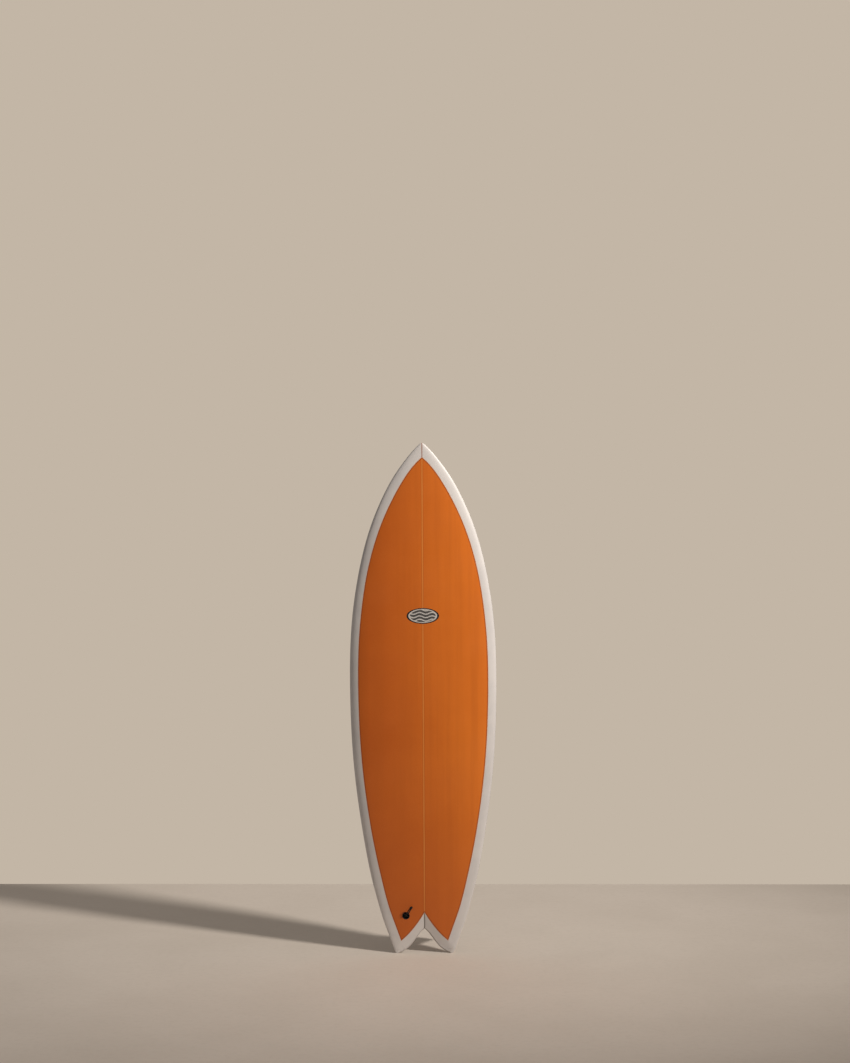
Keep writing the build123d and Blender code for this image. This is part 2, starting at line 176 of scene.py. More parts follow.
# ================================================================ the board's surface grid, right half
notch_line = curve_through(NOTCH, 1200)
notch_line = notch_line[notch_line[:, 1] >= 0.0][::-1]             # from the tip's foot up to the notch's apex
notch_s = np.concatenate([[0], np.cumsum(np.hypot(*np.diff(notch_line, axis=0).T))])
tangent = np.gradient(notch_line, axis=0)
tangent /= np.hypot(tangent[:, 0], tangent[:, 1])[:, None]
panel_low = curve_through(PANEL_NOTCH, 600)
panel_out = curve_through(PANEL_SIDE, 3000)
RHO_D, RHO_B = 6.0, 3.5
APEX_OUT_Z = 128.0


def notch_at(q):
    s = q * notch_s[-1]
    p = np.array([np.interp(s, notch_s, notch_line[:, 0]), np.interp(s, notch_s, notch_line[:, 1])])
    t = np.array([np.interp(s, notch_s, tangent[:, 0]), np.interp(s, notch_s, tangent[:, 1])])
    n = np.array([t[1], -t[0]])                                   # into the board
    if n[0] < 0:
        n = -n
    blend = min(1.0, max(0.0, s / 14.0))
    blend = blend * blend * (3 - 2 * blend)
    n = n * blend + np.array([1.0, 0.0]) * (1 - blend)
    if q > 0.999:
        n = np.array([0.0, 1.0 / n[1]])
    return p, n


rows = []                                                          # (deck start, bottom start, wall point, normal, outer z, on notch)
qs = np.concatenate([np.linspace(0, 0.06, 5), np.linspace(0.06, 0.9, 30)[1:], np.linspace(0.9, 1.0, 7)[1:]])


def cross_at_corner(q):
    p, n = notch_at(q)
    d = p + n * RHO_D
    zo = APEX_OUT_Z * q
    o = np.array([float(half_width(zo)), zo])
    c = np.array(PANEL_SIDE[0])
    return (o[0] - d[0]) * (c[1] - d[1]) - (o[1] - d[1]) * (c[0] - d[0])


lo, hi = 0.05, 0.95
for _ in range(50):
    mid = (lo + hi) / 2
    if cross_at_corner(mid) > 0:
        lo = mid
    else:
        hi = mid
q_corner = (lo + hi) / 2
qs = np.sort(np.append(qs[np.abs(qs - q_corner) > 0.012], q_corner))
for q in qs:
    p, n = notch_at(q)
    rows.append((p + n * RHO_D, p + n * RHO_B, p, n, APEX_OUT_Z * q, True))
axis_z = np.concatenate([[99.5, 103, 107, 112, 117, 122, 127, 132, 137, 141, 144.5, 147.5, 150, 153, 157, 162, 169, 177],
                         np.arange(186, 1700, 8.0), np.arange(1700, 1790, 5.0), np.arange(1790, 1802, 2.0), [1802],
                         np.arange(1805, 1848, 3.0)])
for z in axis_z:
    off = (APEX_OUT_Z - 96.0) * math.exp(-((z - 96.0) / 130.0)) if z < 900 else 0.0
    rows.append((np.array([0.0, z]), np.array([0.0, z]), None, None, z + off, False))
# rounded nose: sections that shrink towards their middle
NOSE_Z, NOSE_R = 1848.0, 6.0
nose_rows = [math.radians(a) for a in (0, 15, 30, 45, 58, 70, 80, 87)]

N1, N2, N3, N4, N5, N6 = 10, 34, 18, 10, 22, 12


def crossing(d, o, line):
    """Where the segment from d to o crosses the polyline, as a share of the segment, or None."""
    r = o - d
    a, b = line[:-1], line[1:]
    e = b - a
    den = r[0] * e[:, 1] - r[1] * e[:, 0]
    den = np.where(np.abs(den) < 1e-12, 1e-12, den)
    t = ((a[:, 0] - d[0]) * e[:, 1] - (a[:, 1] - d[1]) * e[:, 0]) / den
    u = ((a[:, 0] - d[0]) * r[1] - (a[:, 1] - d[1]) * r[0]) / den
    ok = (u >= -1e-6) & (u <= 1 + 1e-6) & (t >= -1e-6) & (t <= 1 + 1e-6)
    return None if not ok.any() else float(t[ok].mean())


def row_points(d, b, p, n, zo, on_notch, zc=None, shrink=1.0):
    """One row's loop of points: zones 1 to 6, as (x, y, z)."""
    wo = float(half_width(zo))
    o = np.array([wo, zo])
    q = None
    if d[1] > 1802 - 1e-6:
        ta = tb = 0.0
    else:
        ta = 0.0 if (not on_notch and d[1] >= 150 - 1e-6) else crossing(d, o, panel_low)
        tb = crossing(d, o, panel_out)
        if ta is None or tb is None:
            near = np.array(PANEL_SIDE[0])
            share = 0.5 if zo < 1 else None
            k = min(1.0, max(0.0, zo / (APEX_OUT_Z * q_corner)))
            pc, nc = notch_at(q_corner)
            dc = pc + nc * RHO_D
            zoc = APEX_OUT_Z * q_corner
            oc = np.array([float(half_width(zoc)), zoc])
            tc = np.linalg.norm(near - dc) / np.linalg.norm(oc - dc)
            ta = tb = 0.42 * (1 - k) + tc * k
    t = np.concatenate([np.linspace(0, ta, N1 + 1), np.linspace(ta, tb, N2 + 1)[1:]])
    px, pz = d[0] + (o[0] - d[0]) * t, d[1] + (o[1] - d[1]) * t
    parts = [np.stack([px, pz, deck_h(px, pz)], axis=1)]
    zb, xb = d[1] + (o[1] - d[1]) * tb, d[0] + (o[0] - d[0]) * tb
    sb = float(deck_param(np.array([xb]), np.array([zb]))[0])
    s = sb * (1 - np.arange(1, N3 + 1) / N3) ** 1.15
    z = zb + (zo - zb) * (1 - s / max(sb, 1e-9))
    px, py = deck_poles(z)
    x, h = bezier(px, s), bezier(py, s)
    parts.append(np.stack([x, z, h - band_drop(x, z, h)], axis=1))
    s = 1 - np.arange(1, N4 + 1) / N4
    px, py = rail_poles(np.full(N4, float(zo)))
    parts.append(np.stack([bezier(px, s), np.full(N4, float(zo)), bezier(py, s)], axis=1))
    inner = parts[-1][-1]
    t = np.arange(1, N5 + 1) / N5
    parts.append(np.stack([inner[0] + (b[0] - inner[0]) * t, inner[1] + (b[1] - inner[1]) * t, 0 * t], axis=1))
    xy = [tuple(r) for part in parts for r in part]
    if on_notch:
        hd = xy[0][2]
        hm = 0.42 * hd
        half = N6 // 2
        for j in range(1, half + 1):
            a = math.pi / 2 * (1 - j / half)
            c = p + n * RHO_B * (1 - math.cos(a))
            xy.append((c[0], c[1], hm * (1 - math.sin(a))))
        for j in range(1, half):
            a = math.pi / 2 * (1 - j / half)
            c = p + n * RHO_D * (1 - math.sin(a))
            xy.append((c[0], c[1], hm + (hd - hm) * math.cos(a)))
    else:
        for j in range(1, N6):
            t = j / N6
            xy.append((0.0, b[1], xy[0][2] * t))
    a = np.array(xy)
    y = bottom_y(a[:, 1]) - a[:, 2]
    return np.stack([a[:, 0], y, a[:, 1]], axis=1)


grid = [row_points(*r) for r in rows]
base = row_points(np.array([0.0, NOSE_Z]), np.array([0.0, NOSE_Z]), None, None, NOSE_Z, False)
for a in nose_rows:
    z = NOSE_Z + NOSE_R * math.sin(a)
    k = math.cos(a) ** 0.8
    g = row_points(np.array([0.0, z]), np.array([0.0, z]), None, None, z, False)
    mid = (g[0, 1] + g[N1 + N2 + N3 + N4 + N5, 1]) / 2
    t = math.sin(a)
    soft = 1 - (1 - k) * 0.92
    g[:, 0] *= soft
    g[:, 1] = mid + (g[:, 1] - mid) * soft
    grid.append(g)
grid = np.array(grid)                                              # rows, points, xyz in mm
NR, NP = grid.shape[:2]
I_DECK, I_PANEL, I_EDGE = 0, N1, N1 + N2
I_RAIL, I_TUCK, I_BOTTOM = I_EDGE + N3, I_EDGE + N3 + N4, I_EDGE + N3 + N4 + N5
NOTCH_ROWS = len(qs)


class Skin:
    """The whole outer surface as faces with a kind each."""

    def __init__(self):
        verts, faces, kinds = [], [], []
        index = {}

        def vid(p):
            key = (round(float(p[0]), 4), round(float(p[1]), 4), round(float(p[2]), 4))
            if key not in index:
                index[key] = len(verts)
                verts.append(key)
            return index[key]

        for side in (1, -1):
            ids = np.zeros((NR, NP), int)
            for k in range(NR):
                for j in range(NP):
                    p = grid[k, j]
                    ids[k, j] = vid((p[0] * side, p[1], p[2]))
            for k in range(NR - 1):
                for j in range(NP):
                    if j >= I_BOTTOM and k >= NOTCH_ROWS - 1:
                        continue                                   # no wall above the notch
                    j2 = (j + 1) % NP
                    quad = [ids[k, j], ids[k, j2], ids[k + 1, j2], ids[k + 1, j]]
                    if side < 0:
                        quad.reverse()
                    quad = [v for i, v in enumerate(quad) if v != quad[i - 1]]
                    if len(set(quad)) < 3:
                        continue
                    kind = "panel" if I_PANEL <= j < I_EDGE else "white"
                    faces.append(quad)
                    kinds.append((kind, side))
            foot = [ids[0, j] for j in range(NP)]
            foot = [v for i, v in enumerate(foot) if v != foot[i - 1]]
            faces.append(foot if side < 0 else foot[::-1])
            kinds.append(("foot", side))
            self_ids = ids
            if side == 1:
                last_r = ids[-1, :I_BOTTOM + 1]
            else:
                last_l = ids[-1, :I_BOTTOM + 1]
        cap = list(last_r) + list(last_l)[::-1]
        out = []
        for v in cap:
            if v not in out:
                out.append(v)
        faces.append(out[::-1])
        kinds.append(("cap", 0))
        self.v = np.array(verts) * MM
        self.f, self.k = faces, kinds


skin = Skin()


def face_normal(v, f):
    p = v[f]
    n = np.zeros(3)
    for i in range(len(f)):
        n += np.cross(p[i], p[(i + 1) % len(f)])
    return n                                                       # twice the area, so sums are area-weighted


fn = np.array([face_normal(skin.v, f) for f in skin.f])
centre = skin.v.mean(axis=0)
# outward check on the widest row's rail
probe = max(range(len(skin.f)), key=lambda i: skin.v[skin.f[i]][:, 0].mean())
if fn[probe][0] < 0:
    skin.f = [f[::-1] for f in skin.f]
    fn = -fn
if fn[-1][2] < 0:                                                  # the small cap on the nose faces up
    skin.f[-1] = skin.f[-1][::-1]
    fn[-1] = -fn[-1]
v_count = len(skin.v)
CREASE = (np.abs(skin.v[:, 0]) < 1e-7) & (skin.v[:, 2] < 0.1495) & (skin.v[:, 1] < bottom_y(skin.v[:, 2] / MM) * MM - 0.0002)


def group_of(face, vertex):
    kind, side = skin.k[face]
    if kind == "foot":
        return 2
    if kind == "cap":
        return 0
    return side if CREASE[vertex] else 0


sums = {}
for i, f in enumerate(skin.f):
    for v in f:
        key = (v, group_of(i, v))
        if key in sums:
            sums[key] = sums[key] + fn[i]
        else:
            sums[key] = fn[i].copy()
corner = {k: n / (np.linalg.norm(n) or 1.0) for k, n in sums.items()}
plain = np.zeros((v_count, 3))
for i, f in enumerate(skin.f):
    if skin.k[i][0] == "foot":
        continue
    for v in f:
        plain[v] += fn[i]
plain /= np.maximum(np.linalg.norm(plain, axis=1), 1e-12)[:, None]


# ================================================================ helpers for meshes
def new_object(name, verts, faces):
    me = bpy.data.meshes.new(name)
    me.from_pydata([tuple(p) for p in verts], [], [list(map(int, f)) for f in faces])
    me.update()
    ob = bpy.data.objects.new(name, me)
    scene.collection.objects.link(ob)
    return ob


def smooth(ob, on=True):
    ob.data.polygons.foreach_set("use_smooth", [on] * len(ob.data.polygons))
    ob.data.update()


def set_material(ob, mat):
    ob.data.materials.clear()
    ob.data.materials.append(mat)


def apply_boolean(ob, cutter, operation="DIFFERENCE"):
    mod = ob.modifiers.new("cut", "BOOLEAN")
    mod.operation, mod.solver, mod.object = operation, "EXACT", cutter
    dg = bpy.context.evaluated_depsgraph_get()
    me = bpy.data.meshes.new_from_object(ob.evaluated_get(dg))
    ob.modifiers.clear()
    old = ob.data
    ob.data = me
    me.name = old.name
    bpy.data.meshes.remove(old)


def remove(ob):
    me = ob.data
    bpy.data.objects.remove(ob)
    bpy.data.meshes.remove(me)



def outer_normals(ob, reach=0.009):
    """Corner normals of the skin for the outer faces, so that neighbouring pieces shade as one surface."""
    me = ob.data
    smooth(ob)
    near = []
    for v in me.vertices:
        hits = skin_tree.find_n(v.co, 3)
        near.append([(hits[0][1], 1.0)] if hits[0][2] < 2e-6 else [(i, 1.0 / (d + 1e-6) ** 2) for _, i, d in hits if d < reach])
    out = [None] * len(me.loops)
    for poly in me.polygons:
        flat = poly.normal
        side = 1 if poly.center.x > 0 else -1
        for li in poly.loop_indices:
            n = np.zeros(3)
            for i, w in near[me.loops[li].vertex_index]:
                g = corner.get((i, side if CREASE[i] else 0))
                if g is not None:
                    n = n + g * w
            size = np.linalg.norm(n)
            if size > 1e-9 and float(n @ np.array(flat)) / size > 0.55:
                out[li] = tuple(n / size)
            else:
                out[li] = tuple(flat)
    me.normals_split_custom_set(out)


def shell(name, kinds, thick):
    """A closed skin of that thickness from the outer surface's faces of these kinds."""
    picked = [i for i, (kind, _) in enumerate(skin.k) if kind in kinds]
    used = sorted({v for i in picked for v in skin.f[i]})
    place = {v: k for k, v in enumerate(used)}
    n = len(used)
    outer = skin.v[used]
    inner = outer - thick * plain[used]
    if "foot" in kinds:
        inner[:, 2] = np.maximum(inner[:, 2], thick)
    faces = [[place[v] for v in skin.f[i]] for i in picked]
    edges = set()
    for f in faces:
        for a, b in zip(f, f[1:] + f[:1]):
            edges.add((a, b))
    rim = [(a, b) for a, b in edges if (b, a) not in edges]
    rim.sort()
    back = [[v + n for v in reversed(f)] for f in faces]
    walls = [[b, a, a + n, b + n] for a, b in rim]
    return new_object(name, np.vstack([outer, inner]), faces + back + walls)


def prism(name, loop, direction, low, high):
    """A closed prism over a loop of points, from low to high along a direction."""
    loop = [Vector(p) for p in loop]
    d = Vector(direction).normalized()
    area = Vector((0, 0, 0))
    for a, b in zip(loop, loop[1:] + loop[:1]):
        area += a.cross(b)
    if area.dot(d) < 0:
        loop.reverse()
    n = len(loop)
    verts = [p + d * low for p in loop] + [p + d * high for p in loop]
    faces = [list(range(n))[::-1], list(range(n, 2 * n))]
    faces += [[i, (i + 1) % n, (i + 1) % n + n, i + n] for i in range(n)]
    return new_object(name, verts, faces)


skin_tree = KDTree(v_count)
for i, p in enumerate(skin.v):
    skin_tree.insert(p, i)
skin_tree.balance()

# ================================================================ frames of the plug and the fins, as in the CAD
PLUG_X, PLUG_Z = -67.5, 137.0
plug_at = Vector((-0.0675, -0.0475953, 0.137))
plug_out = Vector((-0.03868, -0.999192, -0.010955)).normalized()
plug_lean = Vector((0.514905, -0.029326, 0.856745)).normalized()
plug_pin = Vector((0.856374, -0.027498, -0.515623)).normalized()


def from_plug(u, v, n):
    return plug_at + (plug_lean * u + plug_pin * v + plug_out * n) * MM


fin_at = Vector((0.116, -0.0155201, 0.205))
fin_along = Vector((-0.026168, 0.083315, 0.99618)).normalized()
fin_rise = Vector((0.104493, 0.99129, -0.080161)).normalized()
fin_across = Vector((0.994181, -0.101996, 0.034646)).normalized()


def from_fin(u, s, h, side=1):
    p = fin_at + (fin_along * u + fin_across * s + fin_rise * h) * MM
    return Vector((p.x * side, p.y, p.z))


def stadium(length, width, steps=24):
    r, a = width / 2, (length - width) / 2
    pts = []
    for i in range(steps + 1):
        t = -math.pi / 2 + math.pi * i / steps
        pts.append((a + r * math.cos(t), r * math.sin(t)))
    for i in range(steps + 1):
        t = math.pi / 2 + math.pi * i / steps
        pts.append((-a + r * math.cos(t), r * math.sin(t)))
    return pts


def plug_cutter():
    ring = [from_plug(13.5 * math.cos(t), 13.5 * math.sin(t), 0) for t in np.linspace(0, 2 * math.pi, 96, endpoint=False)]
    return prism("cutter_plug", ring, plug_out, -18.2 * MM, 8 * MM)


def box_cutter(side):
    ring = [from_fin(u, s, 0, side) for u, s in stadium(140.0, 25.0)]
    d = Vector((fin_rise.x * side, fin_rise.y, fin_rise.z))
    return prism("cutter_box", ring, d, -17.2 * MM, 8 * MM)


# ================================================================ the board's skins
inlay = shell("deck_inlay_tinted", {"panel"}, GLASS * MM)
hull = shell("hull_laminate", {"white", "foot", "cap"}, GLASS * MM)
hole = plug_cutter()
apply_boolean(inlay, hole)
boxes = [box_cutter(1), box_cutter(-1)]
for cutter in boxes:
    apply_boolean(hull, cutter)
outer_normals(inlay)
outer_normals(hull)

# the foam halves under the skins
CORE = 1.3
for side, name, node in ((1, "foam_core_right", "foam_blank_right"), (-1, "foam_core_left", "foam_blank_left")):
    key = {}
    for i, p in enumerate(skin.v):
        key[(round(p[0] / MM, 4), round(p[1] / MM, 4), round(p[2] / MM, 4))] = i
    ids, verts, index = np.zeros((NR, NP), int), [], {}
    put = np.zeros((NR, NP, 3))
    for k in range(NR):
        for j in range(NP):
            p = grid[k, j]
            i = key.get((round(float(p[0]) * side, 4), round(float(p[1]), 4), round(float(p[2]), 4)))
            q = p * np.array([side, 1, 1])
            if i is not None and (j <= I_BOTTOM or k < NOTCH_ROWS):
                q = q - plain[i] * CORE
            put[k, j] = q
        if k >= NOTCH_ROWS:
            a, b = put[k, I_BOTTOM], put[k, 0]
            for j in range(I_BOTTOM + 1, NP):
                t = (j - I_BOTTOM) / (NP - I_BOTTOM)
                put[k, j] = a + (b - a) * t
    put[:, :, 0] = side * np.maximum(put[:, :, 0] * side, 2.0)
    put[:, :, 2] = np.clip(put[:, :, 2], CORE, 1850.0)
    verts, faces = [], []
    for k in range(NR):
        for j in range(NP):
            q = tuple(round(float(c), 4) for c in put[k, j])
            if q not in index:
                index[q] = len(verts)
                verts.append(q)
            ids[k, j] = index[q]
    for k in range(NR - 1):
        for j in range(NP):
            j2 = (j + 1) % NP
            quad = [ids[k, j], ids[k, j2], ids[k + 1, j2], ids[k + 1, j]]
            if side < 0:
                quad.reverse()
            quad = [v for i, v in enumerate(quad) if v != quad[i - 1]]
            if len(set(quad)) == len(quad) >= 3:
                faces.append(quad)
    for k, flip in ((0, side > 0), (NR - 1, side < 0)):
        ring = []
        for j in range(NP):
            if ids[k, j] not in ring:
                ring.append(ids[k, j])
        faces.append(ring[::-1] if flip else ring)
    core = new_object(name, np.array(verts) * MM, faces)
    bm = bmesh.new()
    bm.from_mesh(core.data)
    bmesh.ops.recalc_face_normals(bm, faces=bm.faces)
    bm.to_mesh(core.data)
    bm.free()
    smooth(core)
    if side < 0:
        apply_boolean(core, hole)
    apply_boolean(core, boxes[0] if side > 0 else boxes[1])
    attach(core, "board")
    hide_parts(node)

remove(hole)
for cutter in boxes:
    remove(cutter)

# the stringer, a thin strip of wood between the foam halves
zs = np.concatenate([np.arange(93.5, 150, 3.0), np.arange(152, 1840, 12.0), [1842.0, 1845.0]])
top = deck_y(0 * zs, zs) + 1.5
low = bottom_y(zs) - 1.5
verts, faces = [], []
for z, a, b in zip(zs, top, low):
    verts += [(-1.9, a, z), (1.9, a, z), (1.9, b, z), (-1.9, b, z)]
n = len(zs)
for i in range(n - 1):
    for j in range(4):
        faces.append([4 * i + j, 4 * i + (j + 1) % 4, 4 * i + 4 + (j + 1) % 4, 4 * i + 4 + j])
faces += [[3, 2, 1, 0], [4 * n - 4, 4 * n - 3, 4 * n - 2, 4 * n - 1]]
strip = new_object("stringer_strip", np.array(verts) * MM, faces)
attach(strip, "board")
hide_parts("stringer")

for ob, node, slot in ((inlay, "deck_inlay", "tinted_laminate"), (hull, "bottom_laminate", "white_laminate")):
    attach(ob, "board")
    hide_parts(node)

def keep_distance(ob, name, line, deck_only=True):
    """Keep each vertex's distance to a line drawn on the deck, in millimetres, with the mesh."""
    co = np.array([v.co for v in ob.data.vertices]) / MM
    gap = np.full(len(co), 60.0)
    a, b = line[:-1], line[1:]
    e = b - a
    ee = (e ** 2).sum(axis=1)
    for start in range(0, len(co), 4000):
        p = np.stack([np.abs(co[start:start + 4000, 0]), co[start:start + 4000, 2]], axis=1)
        w = p[:, None, :] - a[None]
        t = np.clip((w * e[None]).sum(axis=2) / ee[None], 0, 1)
        d = np.sqrt(((w - t[:, :, None] * e[None]) ** 2).sum(axis=2)).min(axis=1)
        gap[start:start + 4000] = d
    if deck_only:
        under = co[:, 1] > bottom_y(co[:, 2]) - 0.45 * thickness(co[:, 2])
        gap[under] = 60.0
    at = ob.data.attributes.new(name, "FLOAT", "POINT")
    at.data.foreach_set("value", gap.astype(np.float32))


border = np.vstack([panel_low[::3], panel_out[::6]])
keep_distance(inlay, "to_edge", border)
keep_distance(hull, "to_edge", border)
keep_distance(hull, "to_notch", notch_line[::8], False)

# ================================================================ emblem, under the clear coat
EMBLEM_Z, EMBLEM_A, EMBLEM_B = 1228.0, 59.0, 28.5
rings, around = 14, 120
verts, faces = [], []
for layer, rise in ((0, -0.12), (1, 0.25)):
    verts.append((0.0, float(deck_y(0.0, EMBLEM_Z)) + rise, EMBLEM_Z))
    for r in range(1, rings + 1):
        for k in range(around):
            t = 2 * math.pi * k / around
            x, z = EMBLEM_A * r / rings * math.cos(t), EMBLEM_Z + EMBLEM_B * r / rings * math.sin(t)
            verts.append((x, 0.0, z))
verts = np.array(verts)
per = rings * around + 1
verts[:, 1] = deck_y(verts[:, 0], verts[:, 2]) + np.where(np.arange(len(verts)) < per, -0.12, 0.25)
for layer in (0, 1):
    base_i = layer * per
    for k in range(around):
        k2 = (k + 1) % around
        tri = [base_i, base_i + 1 + k, base_i + 1 + k2]
        faces.append(tri if layer == 0 else tri[::-1])
        for r in range(rings - 1):
            a = base_i + 1 + r * around
            q = [a + k, a + around + k, a + around + k2, a + k2]
            faces.append(q if layer == 0 else q[::-1])
last = 1 + (rings - 1) * around
for k in range(around):
    k2 = (k + 1) % around
    faces.append([last + k2, last + k, per + last + k, per + last + k2])
emblem = new_object("deck_emblem", verts * MM, faces)
bm = bmesh.new()
bm.from_mesh(emblem.data)
bmesh.ops.recalc_face_normals(bm, faces=bm.faces)
bm.to_mesh(emblem.data)
bm.free()
smooth(emblem)
me = emblem.data
out = [None] * len(me.loops)
for poly in me.polygons:
    for li in poly.loop_indices:
        if poly.normal.y < -0.5:
            p = me.vertices[me.loops[li].vertex_index].co
            hits = skin_tree.find_n(p, 4)
            n = sum((plain[i] / (d + 1e-5) for _, i, d in hits), np.zeros(3))
            out[li] = tuple(n / np.linalg.norm(n))
        else:
            out[li] = tuple(poly.normal)
me.normals_split_custom_set(out)
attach(emblem, "board")
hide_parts("emblem_print")


# ================================================================ leash plug cup: a lathed cup whose rim follows the deck
def on_deck(u, v):
    """How far out of the plug's plane the deck lies at that place."""
    n = 0.0
    for _ in range(6):
        p = from_plug(u, v, n) / MM
        n += (p.y - float(deck_y(p.x, p.z)))
    return n


profile = [(0.0, -18.0, 0), (12.6, -18.0, 0), (13.2, -17.75, 0), (13.45, -17.2, 0), (13.45, -2.0, 0), (13.45, -0.30, 1), (13.44, -0.05, 1), (13.36, 0.14, 1), (13.18, 0.27, 1),
           (12.9, 0.34, 1), (12.3, 0.36, 1), (11.8, 0.33, 1), (11.42, 0.22, 1), (11.18, 0.0, 1), (11.05, -0.4, 1), (11.0, -1.2, 1), (11.0, -4.0, 0), (11.0, -12.6, 0), (10.86, -13.3, 0),
           (10.5, -13.95, 0), (9.9, -14.35, 0), (9.1, -14.5, 0), (6.0, -14.5, 0), (3.0, -14.5, 0), (0.0, -14.5, 0)]
around = 128
verts, faces, rows_at = [], [], []
lift = [on_deck(12.6 * math.cos(2 * math.pi * k / around), 12.6 * math.sin(2 * math.pi * k / around)) for k in range(around)]
for r, n, top_flag in profile:
    if r == 0.0:
        rows_at.append([len(verts)] * around)
        verts.append(from_plug(0, 0, n))
    else:
        rows_at.append(list(range(len(verts), len(verts) + around)))
        for k in range(around):
            t = 2 * math.pi * k / around
            verts.append(from_plug(r * math.cos(t), r * math.sin(t), n + (lift[k] if top_flag else 0.0)))
for a, b in zip(rows_at[:-1], rows_at[1:]):
    for k in range(around):
        k2 = (k + 1) % around
        f = [a[k], a[k2], b[k2], b[k]]
        f = [v for i, v in enumerate(f) if v != f[i - 1]]
        faces.append(f)
cup = new_object("leash_cup", verts, faces)
bm = bmesh.new()
bm.from_mesh(cup.data)
bmesh.ops.recalc_face_normals(bm, faces=bm.faces)
bm.to_mesh(cup.data)
bm.free()
smooth(cup)
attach(cup, "board")
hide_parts("leash_plug_cup")

# ================================================================ leash loop: a braided cord round the pin
LOOP_ROUTE = [(35.0, 2.2, 16.8), (28.0, 2.4, 15.1), (19.6, 2.7, 11.7), (11.6, 2.8, 7.0), (6.8, 2.6, 0.9), (4.3, 1.9, -5.0), (3.9, 1.0, -11.0),
              (-3.9, -1.0, -11.0), (-4.3, -1.9, -5.0), (-2.8, -2.6, 0.6), (2.3, -2.9, 6.0), (9.4, -2.8, 10.5),
              (17.8, -2.6, 14.1), (27.0, -2.4, 16.4), (35.0, -2.2, 17.3)]
CORD_R = 2.0


def nurbs_line(points, resolution=24):
    """The points of a smooth NURBS line over the control points."""
    cu = bpy.data.curves.new("route", "CURVE")
    cu.dimensions, cu.resolution_u = "3D", resolution
    sp = cu.splines.new("NURBS")
    sp.points.add(len(points) - 1)
    for q, p in zip(sp.points, points):
        q.co = (*p, 1.0)
    sp.order_u = 3
    sp.use_endpoint_u = True
    ob = bpy.data.objects.new("route", cu)
    scene.collection.objects.link(ob)
    bpy.context.view_layer.update()
    me = bpy.data.meshes.new_from_object(ob.evaluated_get(bpy.context.evaluated_depsgraph_get()))
    line = [v.co.copy() for v in me.vertices]
    bpy.data.meshes.remove(me)
    bpy.data.objects.remove(ob)
    bpy.data.curves.remove(cu)
    return line


def braid_tube(name, line, radius, around=32, carriers=4, pitch=3.0, depth=0.085, ends="round"):
    """A tube along the line with a plaited surface and rounded ends; radius and pitch in millimetres."""
    pts = [Vector(p) for p in line]
    tangents = []
    for i in range(len(pts)):
        a, b = pts[max(0, i - 1)], pts[min(len(pts) - 1, i + 1)]
        tangents.append((b - a).normalized())
    up = tangents[0].orthogonal().normalized()
    ups = [up]
    for a, b in zip(tangents[:-1], tangents[1:]):
        q = a.rotation_difference(b)
        up = q @ up
        up = (up - b * up.dot(b)).normalized()
        ups.append(up)
    run = [0.0]
    for a, b in zip(pts[:-1], pts[1:]):
        run.append(run[-1] + (b - a).length / MM)
    verts, faces = [], []
    total = run[-1]
    for p, t, u, s in zip(pts, tangents, ups, run):
        side = t.cross(u)
        end = min(1.0, min(s, total - s) / (radius * 0.8) + 0.35)
        squeeze = math.sqrt(max(0.0, 1 - (1 - end) ** 2))
        for k in range(around):
            a = 2 * math.pi * k / around
            one = math.cos(carriers * a + 2 * math.pi * s / pitch)
            two = math.cos(carriers * a - 2 * math.pi * s / pitch)
            weave = one * two
            r = (radius - depth + depth * weave) * squeeze * MM
            verts.append(p + (u * math.cos(a) + side * math.sin(a)) * r)
    n = len(pts)
    for i in range(n - 1):
        for k in range(around):
            k2 = (k + 1) % around
            faces.append([i * around + k, i * around + k2, (i + 1) * around + k2, (i + 1) * around + k])
    faces.append(list(range(around))[::-1])
    faces.append(list(range((n - 1) * around, n * around)))
    ob = new_object(name, verts, faces)
    smooth(ob)
    return ob


loop_line = nurbs_line([from_plug(*p) for p in LOOP_ROUTE])
loop = braid_tube("leash_cord_loop", loop_line, CORD_R)
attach(loop, "leash")
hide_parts("leash_loop")

# the knot: two ends wrapped by a little over two turns of the same cord, with short tails
knot_a, knot_b = Vector(from_plug(32.0, 0, 16.2)), Vector(from_plug(43.0, 0, 19.1))
knot_dir = (knot_b - knot_a).normalized()
knot_v = plug_pin
knot_w = knot_dir.cross(knot_v).normalized()


def in_knot(s, v, w):
    """A point s along the knot from its near end, v and w across it, in millimetres."""
    return knot_a + (knot_dir * s + knot_v * v + knot_w * w) * MM


wraps = []
turns, start, pitch = 2.1, 2.15, 3.25
for i in range(int(turns * 12) + 1):
    a = 2 * math.pi * i / 12
    wraps.append(in_knot(start + pitch * i / 12, 3.42 * math.cos(a + 0.6), 3.42 * math.sin(a + 0.6)))
first = [in_knot(start - 0.1, 1.9 * math.cos(-0.5), 1.9 * math.sin(-0.5))]
end_a = 2 * math.pi * (len(wraps) - 1) / 12 + 0.6
tail = [in_knot(start + pitch * turns + 0.5, 2.5 * math.cos(end_a + 0.6), 2.5 * math.sin(end_a + 0.6)),
        in_knot(11.1, 1.8 * math.cos(end_a + 0.9), 1.8 * math.sin(end_a + 0.9))]
pieces = [braid_tube("knot_wrap", nurbs_line(first + wraps + tail, 8), 1.93, around=28, pitch=3.4)]
pieces.append(braid_tube("knot_core", nurbs_line([in_knot(0.8, 1.3, 0.2), in_knot(4.4, 1.0, 0.6), in_knot(7.8, -0.5, 1.1), in_knot(11.2, -1.8, 1.4)], 16), 1.85, around=28, pitch=3.4))
pieces.append(braid_tube("knot_core_b", nurbs_line([in_knot(0.8, -1.4, -0.2), in_knot(4.0, -1.1, -0.6), in_knot(7.6, 0.2, -1.0)], 16), 1.85, around=28, pitch=3.4))
bm = bmesh.new()
for ob in pieces:
    bm.from_mesh(ob.data)
me = bpy.data.meshes.new("leash_cord_knot")
